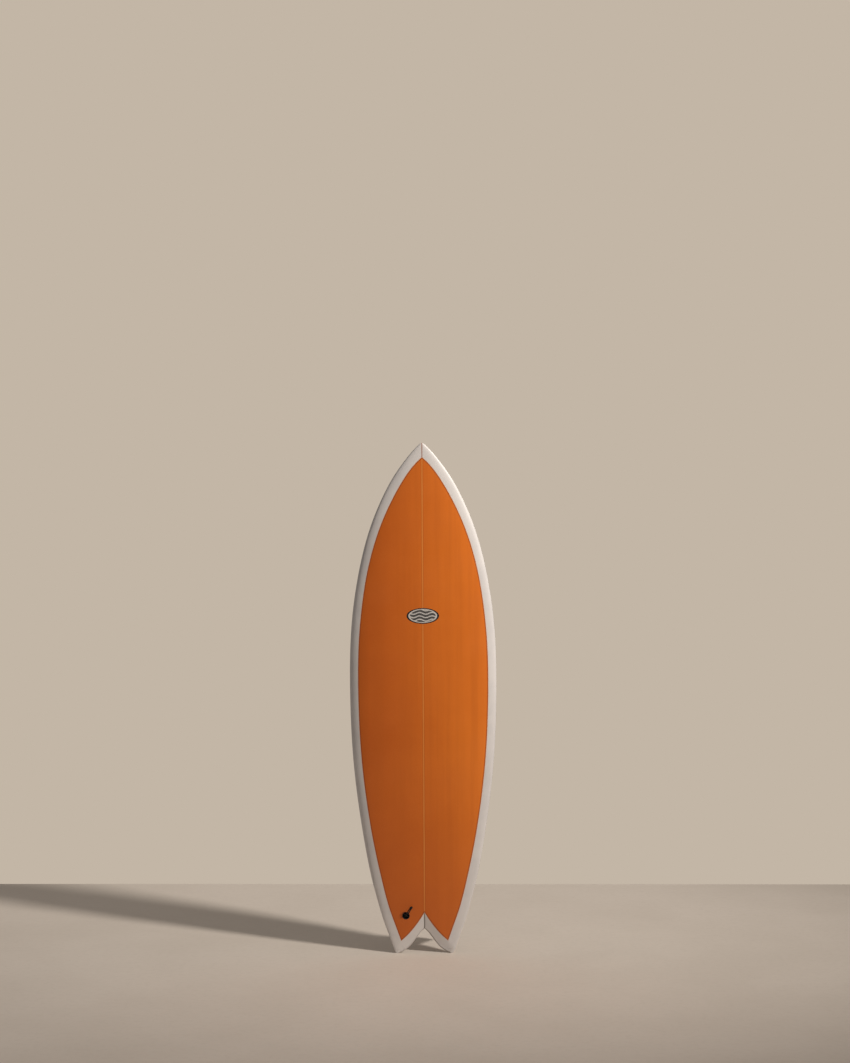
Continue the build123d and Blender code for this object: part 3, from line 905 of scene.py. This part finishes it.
bm.to_mesh(me)
bm.free()
for ob in pieces:
    remove(ob)
knot = bpy.data.objects.new("leash_cord_knot", me)
scene.collection.objects.link(knot)
smooth(knot)
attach(knot, "leash")
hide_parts("leash_loop_knot")
loop_length = sum((b - a).length for a, b in zip(loop_line[:-1], loop_line[1:]))

# ================================================================ keel fins
KEEL = [(0.7, -80.0, 84.0, 7.6), (16.0, -81.5, 74.0, 7.4), (36.0, -84.0, 59.0, 6.9), (58.0, -87.5, 39.5, 6.2),
        (80.0, -92.5, 16.0, 5.4), (100.0, -98.0, -11.0, 4.5), (115.0, -103.0, -37.0, 3.7), (124.0, -106.0, -61.0, 2.9), (128.5, -106.5, -82.0, 2.0)]
keel_tail, keel_lead, keel_thick = (cubic([k[0] for k in KEEL], [k[i] for k in KEEL]) for i in (1, 2, 3))


def keel(name, side):
    steps = 30
    t = (1 - np.cos(np.linspace(0, math.pi, steps + 1))) / 2
    hs = np.concatenate([np.linspace(0.7, 110.0, 48), np.linspace(110.0, 128.2, 16)[1:]])
    loops = []
    for h in hs:
        a, b, th = float(keel_tail(h)), float(keel_lead(h)), float(keel_thick(h))
        c, edge = b - a, 0.45
        inner_u = bezier([a, a + 0.30 * c, a + 0.62 * c, b - 0.01 * c, b], t)
        inner_s = bezier([-edge, -0.55 * th, -0.60 * th, -0.52 * th, 0], t)
        outer_u = bezier([b, b - 0.01 * c, a + 0.62 * c, a + 0.30 * c, a], t)
        outer_s = bezier([0, 0.75 * th, 0.78 * th, 0.45 * th, edge], t)
        u = np.concatenate([inner_u, outer_u[1:]])
        s = np.concatenate([inner_s, outer_s[1:]])
        loops.append((h, u, s))
    h, u, s = loops[-1]
    for grow, shrink in ((0.16, 0.93), (0.26, 0.80), (0.30, 0.55)):        # rounded tip
        mu, ms = u.mean(), s.mean()
        pull = (u - mu) * (1 - (1 - shrink) * 0.12)
        loops.append((h + grow, mu + pull, ms + (s - ms) * shrink))
    n = len(loops[0][1])
    verts = [from_fin(uu, ss, hh, side) for hh, us, ss_ in loops for uu, ss in zip(us, ss_)]
    faces = []
    for i in range(len(loops) - 1):
        for k in range(n):
            k2 = (k + 1) % n
            faces.append([i * n + k, i * n + k2, (i + 1) * n + k2, (i + 1) * n + k])
    faces.append(list(range(n))[::-1])
    faces.append(list(range((len(loops) - 1) * n, len(loops) * n)))
    start = len(verts)
    ring, r, L, W = [], 2.6, 116.0, 6.1
    for cx, cy, a0 in ((L / 2 - r, W / 2 - r, 0), (-L / 2 + r, W / 2 - r, 90), (-L / 2 + r, -W / 2 + r, 180), (L / 2 - r, -W / 2 + r, 270)):
        for k in range(9):
            a = math.radians(a0 + 90 * k / 8)
            ring.append((cx + r * math.cos(a), cy + r * math.sin(a)))
    m = len(ring)
    levels = [(-13.0, 0.7), (-12.8, 0.25), (-12.4, 0.0), (1.5, 0.0)]
    for hh, inset in levels:
        for uu, ss in ring:
            verts.append(from_fin(uu - math.copysign(inset, uu), ss - math.copysign(inset, ss), hh, side))
    for i in range(len(levels) - 1):
        for k in range(m):
            k2 = (k + 1) % m
            a = start + i * m
            faces.append([a + k, a + k2, a + m + k2, a + m + k])
    faces.append([start + k for k in range(m)][::-1])
    faces.append([start + (len(levels) - 1) * m + k for k in range(m)])
    ob = new_object(name, verts, faces)
    bm = bmesh.new()
    bm.from_mesh(ob.data)
    bmesh.ops.recalc_face_normals(bm, faces=bm.faces)
    bm.to_mesh(ob.data)
    bm.free()
    smooth(ob)
    ob.data.set_sharp_from_angle(angle=math.radians(40))
    return ob


fins = []
for side, name, node, body in ((1, "keel_fin_foil_right", "keel_fin_right", "fin_right"), (-1, "keel_fin_foil_left", "keel_fin_left", "fin_left")):
    ob = keel(name, side)
    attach(ob, body)
    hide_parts(node)
    fins.append(ob)


# ================================================================ materials
def linear(r, g, b):
    return tuple(((c / 255) / 12.92 if c <= 10 else ((c / 255 + 0.055) / 1.055) ** 2.4) for c in (r, g, b)) + (1.0,)


class Mat:
    """A small hand for building a procedural Principled material."""

    def __init__(self, name, roughness=0.5, metallic=0.0, coat=0.0, coat_roughness=0.1, specular=0.5, sheen=0.0):
        self.m = bpy.data.materials.new(name)
        self.m.use_nodes = True
        self.t = self.m.node_tree
        self.t.nodes.clear()
        self.out = self.t.nodes.new("ShaderNodeOutputMaterial")
        self.b = self.t.nodes.new("ShaderNodeBsdfPrincipled")
        self.t.links.new(self.b.outputs[0], self.out.inputs[0])
        self.b.inputs["Roughness"].default_value = roughness
        self.b.inputs["Metallic"].default_value = metallic
        self.b.inputs["Coat Weight"].default_value = coat
        self.b.inputs["Coat Roughness"].default_value = coat_roughness
        self.b.inputs["Specular IOR Level"].default_value = specular
        self.b.inputs["Sheen Weight"].default_value = sheen
        self.xyz = self.new("ShaderNodeTexCoord").outputs["Object"]
        sep = self.new("ShaderNodeSeparateXYZ")
        self.link(self.xyz, sep.inputs[0])
        self.x, self.y, self.z = sep.outputs

    def new(self, kind, **props):
        n = self.t.nodes.new(kind)
        for k, v in props.items():
            setattr(n, k, v)
        return n

    def link(self, a, b):
        self.t.links.new(a, b)

    def put(self, socket, value):
        if isinstance(value, bpy.types.NodeSocket):
            self.link(value, socket)
        else:
            socket.default_value = value

    def math(self, op, a, b=0.0, c=0.0, clamp=False):
        n = self.new("ShaderNodeMath", operation=op, use_clamp=clamp)
        self.put(n.inputs[0], a)
        self.put(n.inputs[1], b)
        self.put(n.inputs[2], c)
        return n.outputs[0]

    def step(self, value, low, high, a=0.0, b=1.0):
        """A smooth ramp from a at low to b at high."""
        n = self.new("ShaderNodeMapRange", interpolation_type="SMOOTHSTEP")
        self.put(n.inputs["Value"], value)
        n.inputs["From Min"].default_value, n.inputs["From Max"].default_value = low, high
        n.inputs["To Min"].default_value, n.inputs["To Max"].default_value = a, b
        return n.outputs[0]

    def scaled(self, sx, sy, sz, vector=None):
        n = self.new("ShaderNodeMapping")
        self.link(vector or self.xyz, n.inputs["Vector"])
        n.inputs["Scale"].default_value = (sx, sy, sz)
        return n.outputs[0]

    def noise(self, scale, detail=3.0, rough=0.5, vector=None, distortion=0.0):
        n = self.new("ShaderNodeTexNoise")
        self.link(vector or self.xyz, n.inputs["Vector"])
        n.inputs["Scale"].default_value = scale
        n.inputs["Detail"].default_value = detail
        n.inputs["Roughness"].default_value = rough
        n.inputs["Distortion"].default_value = distortion
        return n.outputs["Fac"]

    def mix(self, fac, a, b, blend="MIX"):
        n = self.new("ShaderNodeMix", data_type="RGBA", blend_type=blend)
        self.put(n.inputs["Factor"], fac)
        ins = [s for s in n.inputs if s.type == "RGBA"]
        self.put(ins[0], a)
        self.put(ins[1], b)
        return [s for s in n.outputs if s.type == "RGBA"][0]

    def colour(self, value):
        self.link(value, self.b.inputs["Base Color"])

    def rough(self, value):
        self.link(value, self.b.inputs["Roughness"])

    def bump(self, height, strength, distance):
        n = self.new("ShaderNodeBump")
        n.inputs["Strength"].default_value = strength
        n.inputs["Distance"].default_value = distance
        self.link(height, n.inputs["Height"])
        self.link(n.outputs[0], self.b.inputs["Normal"])

    def wave(self, value, per_metre, phase=0.0):
        """A cosine of a coordinate, from 0 to 1."""
        c = self.math("COSINE", self.math("MULTIPLY_ADD", value, 2 * math.pi * per_metre, phase))
        return self.math("MULTIPLY_ADD", c, 0.5, 0.5)


def cloth_weave(m, per_metre):
    """A plain weave seen through the resin: two crossing rows of threads, from 0 to 1."""
    sx, sz = m.wave(m.x, per_metre), m.wave(m.z, per_metre)
    over = m.math("MULTIPLY", m.math("COSINE", m.math("MULTIPLY", m.x, math.pi * per_metre)), m.math("COSINE", m.math("MULTIPLY", m.z, math.pi * per_metre)))
    pick = m.step(over, -0.3, 0.3)
    return m.math("ADD", m.math("MULTIPLY", sx, pick), m.math("MULTIPLY", sz, m.math("SUBTRACT", 1.0, pick)))


# tinted deck panel: pigmented resin under a sanded gloss
tint = Mat("tinted_laminate", roughness=0.34, coat=0.16, coat_roughness=0.24, specular=0.32)
cloud = tint.noise(3.4, 4, 0.55)
streak = tint.noise(1.0, 4, 0.6, tint.scaled(34.0, 6.0, 1.1))
fine = tint.noise(230.0, 2, 0.5)
weave = cloth_weave(tint, 620.0)
# painted light and shade: the deck is darker and redder on the left and lighter and yellower on the right, more so
# higher up, as painted key light and sheen from the right
shaded_side_c = tint.mix(tint.step(cloud, 0.32, 0.68), (0.520, 0.106, 0.0118, 1), (0.565, 0.121, 0.0140, 1))
lit_side_c = tint.mix(tint.step(cloud, 0.32, 0.68), (0.690, 0.165, 0.0160, 1), (0.745, 0.186, 0.0190, 1))
lit_side_blend = tint.math("MULTIPLY", tint.step(tint.x, -0.20, 0.24), tint.step(tint.z, 0.05, 0.75, 0.34, 1.0))
base_c = tint.mix(lit_side_blend, shaded_side_c, lit_side_c)
base_c = tint.mix(tint.step(streak, 0.35, 0.70, 0.0, 0.30), base_c, (0.500, 0.108, 0.0120, 1))
base_c = tint.mix(tint.math("MULTIPLY", weave, 0.07), base_c, (0.400, 0.080, 0.009, 1))
base_c = tint.mix(tint.step(fine, 0.30, 0.75, 0.0, 0.06), base_c, (0.72, 0.24, 0.05, 1))
ax = tint.math("ABSOLUTE", tint.x)
grain = tint.noise(1.0, 3, 0.6, tint.scaled(900.0, 40.0, 9.0))
line_w = tint.math("MULTIPLY_ADD", tint.noise(14.0, 2, 0.5), 0.0005, 0.0018)
line = tint.step(tint.math("SUBTRACT", ax, line_w), -0.0004, 0.0006, 1.0, 0.0)
line_c = tint.mix(tint.step(grain, 0.3, 0.7), (0.690, 0.245, 0.052, 1), (0.600, 0.185, 0.036, 1))
base_c = tint.mix(tint.math("MULTIPLY", line, 0.9), base_c, line_c)
glue = tint.step(tint.math("ABSOLUTE", tint.math("SUBTRACT", ax, 0.0036)), 0.0005, 0.0020, 0.38, 0.0)
base_c = tint.mix(glue, base_c, (0.42, 0.080, 0.010, 1))
# painted shade: the panel darker towards the tail, where less of the key light falls
base_c = tint.mix(tint.step(tint.z, 0.0, 0.55, 0.13, 0.0), base_c, (0.34, 0.066, 0.008, 1))
edge = tint.new("ShaderNodeAttribute", attribute_name="to_edge").outputs["Fac"]
wander = tint.math("MULTIPLY_ADD", tint.noise(26.0, 3, 0.6), 1.8, 2.2)
rim = tint.step(tint.math("SUBTRACT", edge, wander), -1.6, 2.6, 0.72, 0.0)
base_c = tint.mix(rim, base_c, (0.30, 0.056, 0.009, 1))
tint.colour(base_c)
tint.rough(tint.step(tint.noise(9.0, 4, 0.6), 0.25, 0.8, 0.29, 0.42))
tint.bump(tint.math("ADD", tint.math("MULTIPLY", weave, 0.35), tint.noise(5.0, 3, 0.5)), 0.25, 0.0003)
set_material(inlay, tint.m)

# off-white laminate of the rails, tips and bottom
white = Mat("white_laminate", roughness=0.40, coat=0.06, coat_roughness=0.28, specular=0.26)
cloud = white.noise(4.2, 4, 0.55)
patch = white.noise(17.0, 3, 0.6)
weave = cloth_weave(white, 620.0)
base_c = white.mix(white.step(cloud, 0.3, 0.7), (0.665, 0.622, 0.592, 1), (0.600, 0.560, 0.538, 1))
base_c = white.mix(white.step(patch, 0.45, 0.75, 0.0, 0.35), base_c, (0.535, 0.510, 0.505, 1))
base_c = white.mix(white.math("MULTIPLY", weave, 0.06), base_c, (0.46, 0.44, 0.41, 1))
ax = white.math("ABSOLUTE", white.x)
line_w = white.math("MULTIPLY_ADD", white.noise(14.0, 2, 0.5), 0.0005, 0.0017)
line = white.step(white.math("SUBTRACT", ax, line_w), -0.0004, 0.0008, 1.0, 0.0)
grain = white.noise(1.0, 3, 0.6, white.scaled(900.0, 40.0, 9.0))
nose = white.step(white.z, 1.70, 1.78)
# painted shade: below 0.16 m the stringer line is made near-black along the tail's crease
tail_crease_shade = white.step(white.z, 0.156, 0.166, 1.0, 0.0)
wood = white.mix(white.step(grain, 0.3, 0.7), (0.36, 0.235, 0.155, 1), (0.25, 0.155, 0.10, 1))
wood = white.mix(nose, wood, (0.34, 0.165, 0.12, 1))
wood = white.mix(tail_crease_shade, wood, (0.105, 0.085, 0.07, 1))
base_c = white.mix(white.math("MULTIPLY", line, 0.80), base_c, wood)
edge = white.new("ShaderNodeAttribute", attribute_name="to_edge").outputs["Fac"]
wander = white.math("MULTIPLY", white.noise(22.0, 3, 0.6), 2.2)
bleed = white.step(white.math("SUBTRACT", edge, wander), -0.6, 1.8, 0.55, 0.0)
base_c = white.mix(bleed, base_c, (0.66, 0.42, 0.27, 1))
low_scuff = white.math("MULTIPLY", white.step(white.z, 0.0, 0.035, 1.0, 0.0), white.step(white.noise(95.0, 4, 0.7), 0.46, 0.66))
base_c = white.mix(white.math("MULTIPLY", low_scuff, 0.45), base_c, (0.27, 0.235, 0.20, 1))
# painted shade: a dark line along the notch's edge, stronger on the right fork, whose edge faces away from the key
# light
notch_gap = white.new("ShaderNodeAttribute", attribute_name="to_notch").outputs["Fac"]
painted_notch_shade = white.math("MULTIPLY", white.step(notch_gap, 1.8, 5.4, 0.72, 0.0), white.step(white.noise(60.0, 3, 0.6), 0.2, 0.6, 0.7, 1.0))
painted_notch_shade = white.math("MULTIPLY", painted_notch_shade, white.step(white.x, -0.012, 0.012, 0.5, 1.0))
base_c = white.mix(painted_notch_shade, base_c, (0.150, 0.112, 0.088, 1))
white.colour(base_c)
white.rough(white.step(white.noise(9.0, 4, 0.6), 0.25, 0.8, 0.34, 0.48))
white.bump(white.math("ADD", white.math("MULTIPLY", weave, 0.35), white.noise(5.0, 3, 0.5)), 0.25, 0.0003)
set_material(hull, white.m)

# emblem: a plain oval badge with waves
badge = Mat("emblem_print", roughness=0.36, coat=0.35, coat_roughness=0.22, specular=0.45)
ex = badge.math("DIVIDE", badge.x, EMBLEM_A * MM)
ez = badge.math("DIVIDE", badge.math("SUBTRACT", badge.z, EMBLEM_Z * MM), EMBLEM_B * MM)
r2 = badge.math("SQRT", badge.math("ADD", badge.math("POWER", ex, 2.0), badge.math("POWER", ez, 2.0)))
outline = badge.step(r2, 0.875, 0.895)
inside = badge.step(r2, 0.775, 0.80, 1.0, 0.0)
swell = badge.math("MULTIPLY", badge.math("SINE", badge.math("MULTIPLY", ex, 8.2)), 0.115)
bands = badge.math("SINE", badge.math("MULTIPLY", badge.math("ADD", ez, swell), 14.5))
stripe = badge.math("MULTIPLY", badge.step(bands, -0.62, -0.38), inside)
ink_edge = badge.step(badge.noise(700.0, 2, 0.5), 0.3, 0.7, 0.90, 1.0)
paper = badge.mix(badge.step(badge.noise(60.0, 3, 0.5), 0.3, 0.7), (0.60, 0.56, 0.52, 1), (0.52, 0.49, 0.46, 1))
ink = badge.mix(badge.step(badge.noise(240.0, 3, 0.6), 0.3, 0.8), (0.014, 0.012, 0.012, 1), (0.030, 0.026, 0.024, 1))
field = badge.mix(badge.step(badge.noise(240.0, 3, 0.6), 0.3, 0.8), (0.036, 0.034, 0.034, 1), (0.085, 0.080, 0.078, 1))
col = badge.mix(badge.math("MULTIPLY", stripe, ink_edge), paper, field)
col = badge.mix(outline, col, ink)
badge.colour(col)
badge.rough(badge.step(badge.noise(9.0, 4, 0.6), 0.25, 0.8, 0.30, 0.42))
badge.bump(badge.noise(5.0, 3, 0.5), 0.25, 0.0003)
set_material(emblem, badge.m)

# moulded black plastic of the cup and the fin boxes
plastic = Mat("black_plastic", roughness=0.42, specular=0.32)
pits = plastic.noise(1500.0, 3, 0.6)
haze = plastic.noise(70.0, 4, 0.6)
col = plastic.mix(plastic.step(haze, 0.3, 0.75), (0.0065, 0.0070, 0.0085, 1), (0.013, 0.0135, 0.015, 1))
plastic.colour(col)
plastic.rough(plastic.step(haze, 0.2, 0.8, 0.34, 0.55))
plastic.bump(pits, 0.35, 0.00006)
set_material(cup, plastic.m)
for node in ("fin_box_left", "fin_box_right"):
    set_material(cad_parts[node], plastic.m)

# stainless steel
steel = Mat("steel", roughness=0.26, metallic=1.0)
brushed = steel.noise(1.0, 4, 0.6, steel.scaled(2500.0, 300.0, 1400.0))
spots = steel.noise(420.0, 3, 0.6)
col = steel.mix(steel.step(spots, 0.35, 0.75), (0.42, 0.41, 0.40, 1), (0.30, 0.29, 0.28, 1))
steel.colour(col)
steel.rough(steel.step(brushed, 0.2, 0.8, 0.18, 0.40))
steel.bump(brushed, 0.3, 0.00003)
for node in ("fin_screws_left", "fin_screws_right"):
    set_material(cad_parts[node], steel.m)

# the leash pin's steel is painted near-black: painted shade in the cup's hollow
shaded_pin = Mat("pin_steel", roughness=0.45, metallic=1.0)
stain = shaded_pin.noise(300.0, 4, 0.6)
drawn = shaded_pin.noise(1.0, 4, 0.6, shaded_pin.scaled(900.0, 2500.0, 1500.0))
col = shaded_pin.mix(shaded_pin.step(stain, 0.3, 0.7), (0.115, 0.110, 0.105, 1), (0.060, 0.057, 0.055, 1))
shaded_pin.colour(col)
shaded_pin.rough(shaded_pin.step(drawn, 0.2, 0.8, 0.36, 0.58))
shaded_pin.bump(drawn, 0.3, 0.00003)
set_material(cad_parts["leash_plug_pin"], shaded_pin.m)

# braided black cord
rope = Mat("braided_cord", roughness=0.72, specular=0.22, sheen=0.05)
fuzz = rope.noise(2600.0, 3, 0.6)
dirt = rope.noise(120.0, 3, 0.6)
col = rope.mix(rope.step(fuzz, 0.3, 0.8), (0.0055, 0.0055, 0.0065, 1), (0.017, 0.0165, 0.017, 1))
col = rope.mix(rope.step(dirt, 0.5, 0.8, 0.0, 0.4), col, (0.026, 0.023, 0.021, 1))
rope.colour(col)
rope.rough(rope.step(fuzz, 0.2, 0.8, 0.62, 0.85))
rope.bump(fuzz, 0.6, 0.00012)
set_material(loop, rope.m)
set_material(knot, rope.m)

# fibreglass of the fins: contour lines of the sanded layers
for ob, side in zip(fins, (1, -1)):
    glass = Mat("fin_laminate_" + ("right" if side > 0 else "left"), roughness=0.3, coat=0.4, coat_roughness=0.12)
    dot = glass.new("ShaderNodeVectorMath", operation="DOT_PRODUCT")
    glass.link(glass.xyz, dot.inputs[0])
    dot.inputs[1].default_value = (fin_across.x * side, fin_across.y, fin_across.z)
    offset = fin_at.dot(fin_across)
    level = glass.math("ABSOLUTE", glass.math("SUBTRACT", dot.outputs["Value"], offset))
    ripple = glass.math("MULTIPLY_ADD", glass.noise(38.0, 4, 0.6), 0.00042, level)
    ring = glass.wave(ripple, 2300.0)
    broad = glass.wave(ripple, 640.0, 1.1)
    weave = cloth_weave(glass, 900.0)
    col = glass.mix(glass.step(ring, 0.15, 0.85), (0.470, 0.175, 0.040, 1), (0.600, 0.262, 0.075, 1))
    col = glass.mix(glass.step(broad, 0.2, 0.9, 0.0, 0.5), col, (0.380, 0.125, 0.026, 1))
    col = glass.mix(glass.math("MULTIPLY", weave, 0.12), col, (0.70, 0.42, 0.18, 1))
    thin = glass.step(level, 0.0003, 0.0009, 0.35, 0.0)
    col = glass.mix(thin, col, (0.74, 0.52, 0.30, 1))
    glass.colour(col)
    glass.rough(glass.step(glass.noise(30.0, 4, 0.6), 0.2, 0.8, 0.22, 0.38))
    glass.bump(glass.math("ADD", glass.math("MULTIPLY", weave, 0.2), glass.noise(60.0, 2, 0.5)), 0.2, 0.0001)
    set_material(ob, glass.m)

# polyurethane foam and the wooden stringer inside
foam = Mat("foam", roughness=0.85, specular=0.25)
cells = foam.new("ShaderNodeTexVoronoi")
foam.link(foam.xyz, cells.inputs["Vector"])
cells.inputs["Scale"].default_value = 900.0
tone = foam.noise(12.0, 4, 0.6)
col = foam.mix(foam.step(tone, 0.3, 0.7), (0.80, 0.76, 0.66, 1), (0.72, 0.67, 0.56, 1))
foam.colour(col)
foam.rough(foam.step(tone, 0.2, 0.8, 0.78, 0.92))
foam.bump(cells.outputs["Distance"], 0.4, 0.0002)
for name in ("foam_core_right", "foam_core_left"):
    set_material(bpy.data.objects[name], foam.m)
wood = Mat("stringer_wood", roughness=0.6, specular=0.35)
grain = wood.noise(1.0, 5, 0.65, wood.scaled(700.0, 260.0, 9.0), 0.4)
tone = wood.noise(6.0, 3, 0.5)
col = wood.mix(wood.step(grain, 0.3, 0.7), (0.50, 0.33, 0.19, 1), (0.34, 0.205, 0.11, 1))
col = wood.mix(wood.step(tone, 0.4, 0.7, 0.0, 0.4), col, (0.60, 0.43, 0.27, 1))
wood.colour(col)
wood.rough(wood.step(grain, 0.2, 0.8, 0.5, 0.72))
wood.bump(grain, 0.4, 0.0002)
set_material(strip, wood.m)

# ================================================================ floor, world and lights
FAR_Y, SKEW = 1.217, 0.189                                         # the far edge looks level in the rolled view
floor = new_object("floor", [(-6, -5, 0), (6, -5, 0), (6, FAR_Y - SKEW, 0), (-6, FAR_Y + SKEW, 0), (-6, -5, -0.02), (6, -5, -0.02), (6, FAR_Y - SKEW, -0.02), (-6, FAR_Y + SKEW, -0.02)],
                   [(0, 1, 2, 3), (7, 6, 5, 4), (0, 4, 5, 1), (1, 5, 6, 2), (2, 6, 7, 3), (3, 7, 4, 0)])
ground = Mat("plain_floor", roughness=0.8, specular=0.2)
tone = ground.noise(1.3, 5, 0.6)
speck = ground.noise(46.0, 4, 0.65)
col = ground.mix(ground.step(tone, 0.3, 0.7), (0.760, 0.672, 0.585, 1), (0.710, 0.625, 0.540, 1))
col = ground.mix(ground.step(speck, 0.42, 0.8, 0.0, 0.22), col, (0.58, 0.50, 0.42, 1))
ground.colour(col)
ground.bump(speck, 0.2, 0.002)
set_material(floor, ground.m)

world = bpy.data.worlds.new("studio")
scene.world = world
world.use_nodes = True
wt = world.node_tree
wt.nodes.clear()
out_n = wt.nodes.new("ShaderNodeOutputWorld")
seen, lit = wt.nodes.new("ShaderNodeBackground"), wt.nodes.new("ShaderNodeBackground")
seen.inputs["Color"].default_value = linear(195, 182, 166)
seen.inputs["Strength"].default_value = 1.0
lit.inputs["Color"].default_value = (1.0, 0.93, 0.865, 1)
sky_at, sky_xyz, sky_level = (wt.nodes.new(k) for k in ("ShaderNodeTexCoord", "ShaderNodeSeparateXYZ", "ShaderNodeMapRange"))
wt.links.new(sky_at.outputs["Generated"], sky_xyz.inputs[0])
wt.links.new(sky_xyz.outputs["Z"], sky_level.inputs["Value"])
sky_level.inputs["From Min"].default_value, sky_level.inputs["From Max"].default_value = 0.0, 1.0
sky_level.inputs["To Min"].default_value, sky_level.inputs["To Max"].default_value = 0.06, 0.36
wt.links.new(sky_level.outputs[0], lit.inputs["Strength"])
path_n, mix_n = wt.nodes.new("ShaderNodeLightPath"), wt.nodes.new("ShaderNodeMixShader")
wt.links.new(path_n.outputs["Is Camera Ray"], mix_n.inputs[0])
wt.links.new(lit.outputs[0], mix_n.inputs[1])
wt.links.new(seen.outputs[0], mix_n.inputs[2])
wt.links.new(mix_n.outputs[0], out_n.inputs[0])


def area_light(name, at, aim, size, watts, colour):
    data = bpy.data.lights.new(name, "AREA")
    data.shape, data.size, data.energy, data.color = "DISK", size, watts, colour
    ob = bpy.data.objects.new(name, data)
    scene.collection.objects.link(ob)
    ob.location = at
    ob.rotation_euler = (Vector(aim) - Vector(at)).to_track_quat("-Z", "Y").to_euler()
    return ob


key_dir = Vector((0.84, -0.55, 0.0)).normalized()
key_at = key_dir * 6.0 + Vector((0, 0, 4.5))
key = area_light("key_light", key_at, (0, 0.8, 2.18), 0.8, 86.0, (1.0, 0.955, 0.90))
key.data.spread = math.radians(62)
fill = area_light("fill_light", (-5.0, -1.8, 1.3), (0, 0, 0.9), 2.2, 15.0, (0.88, 0.94, 1.0))
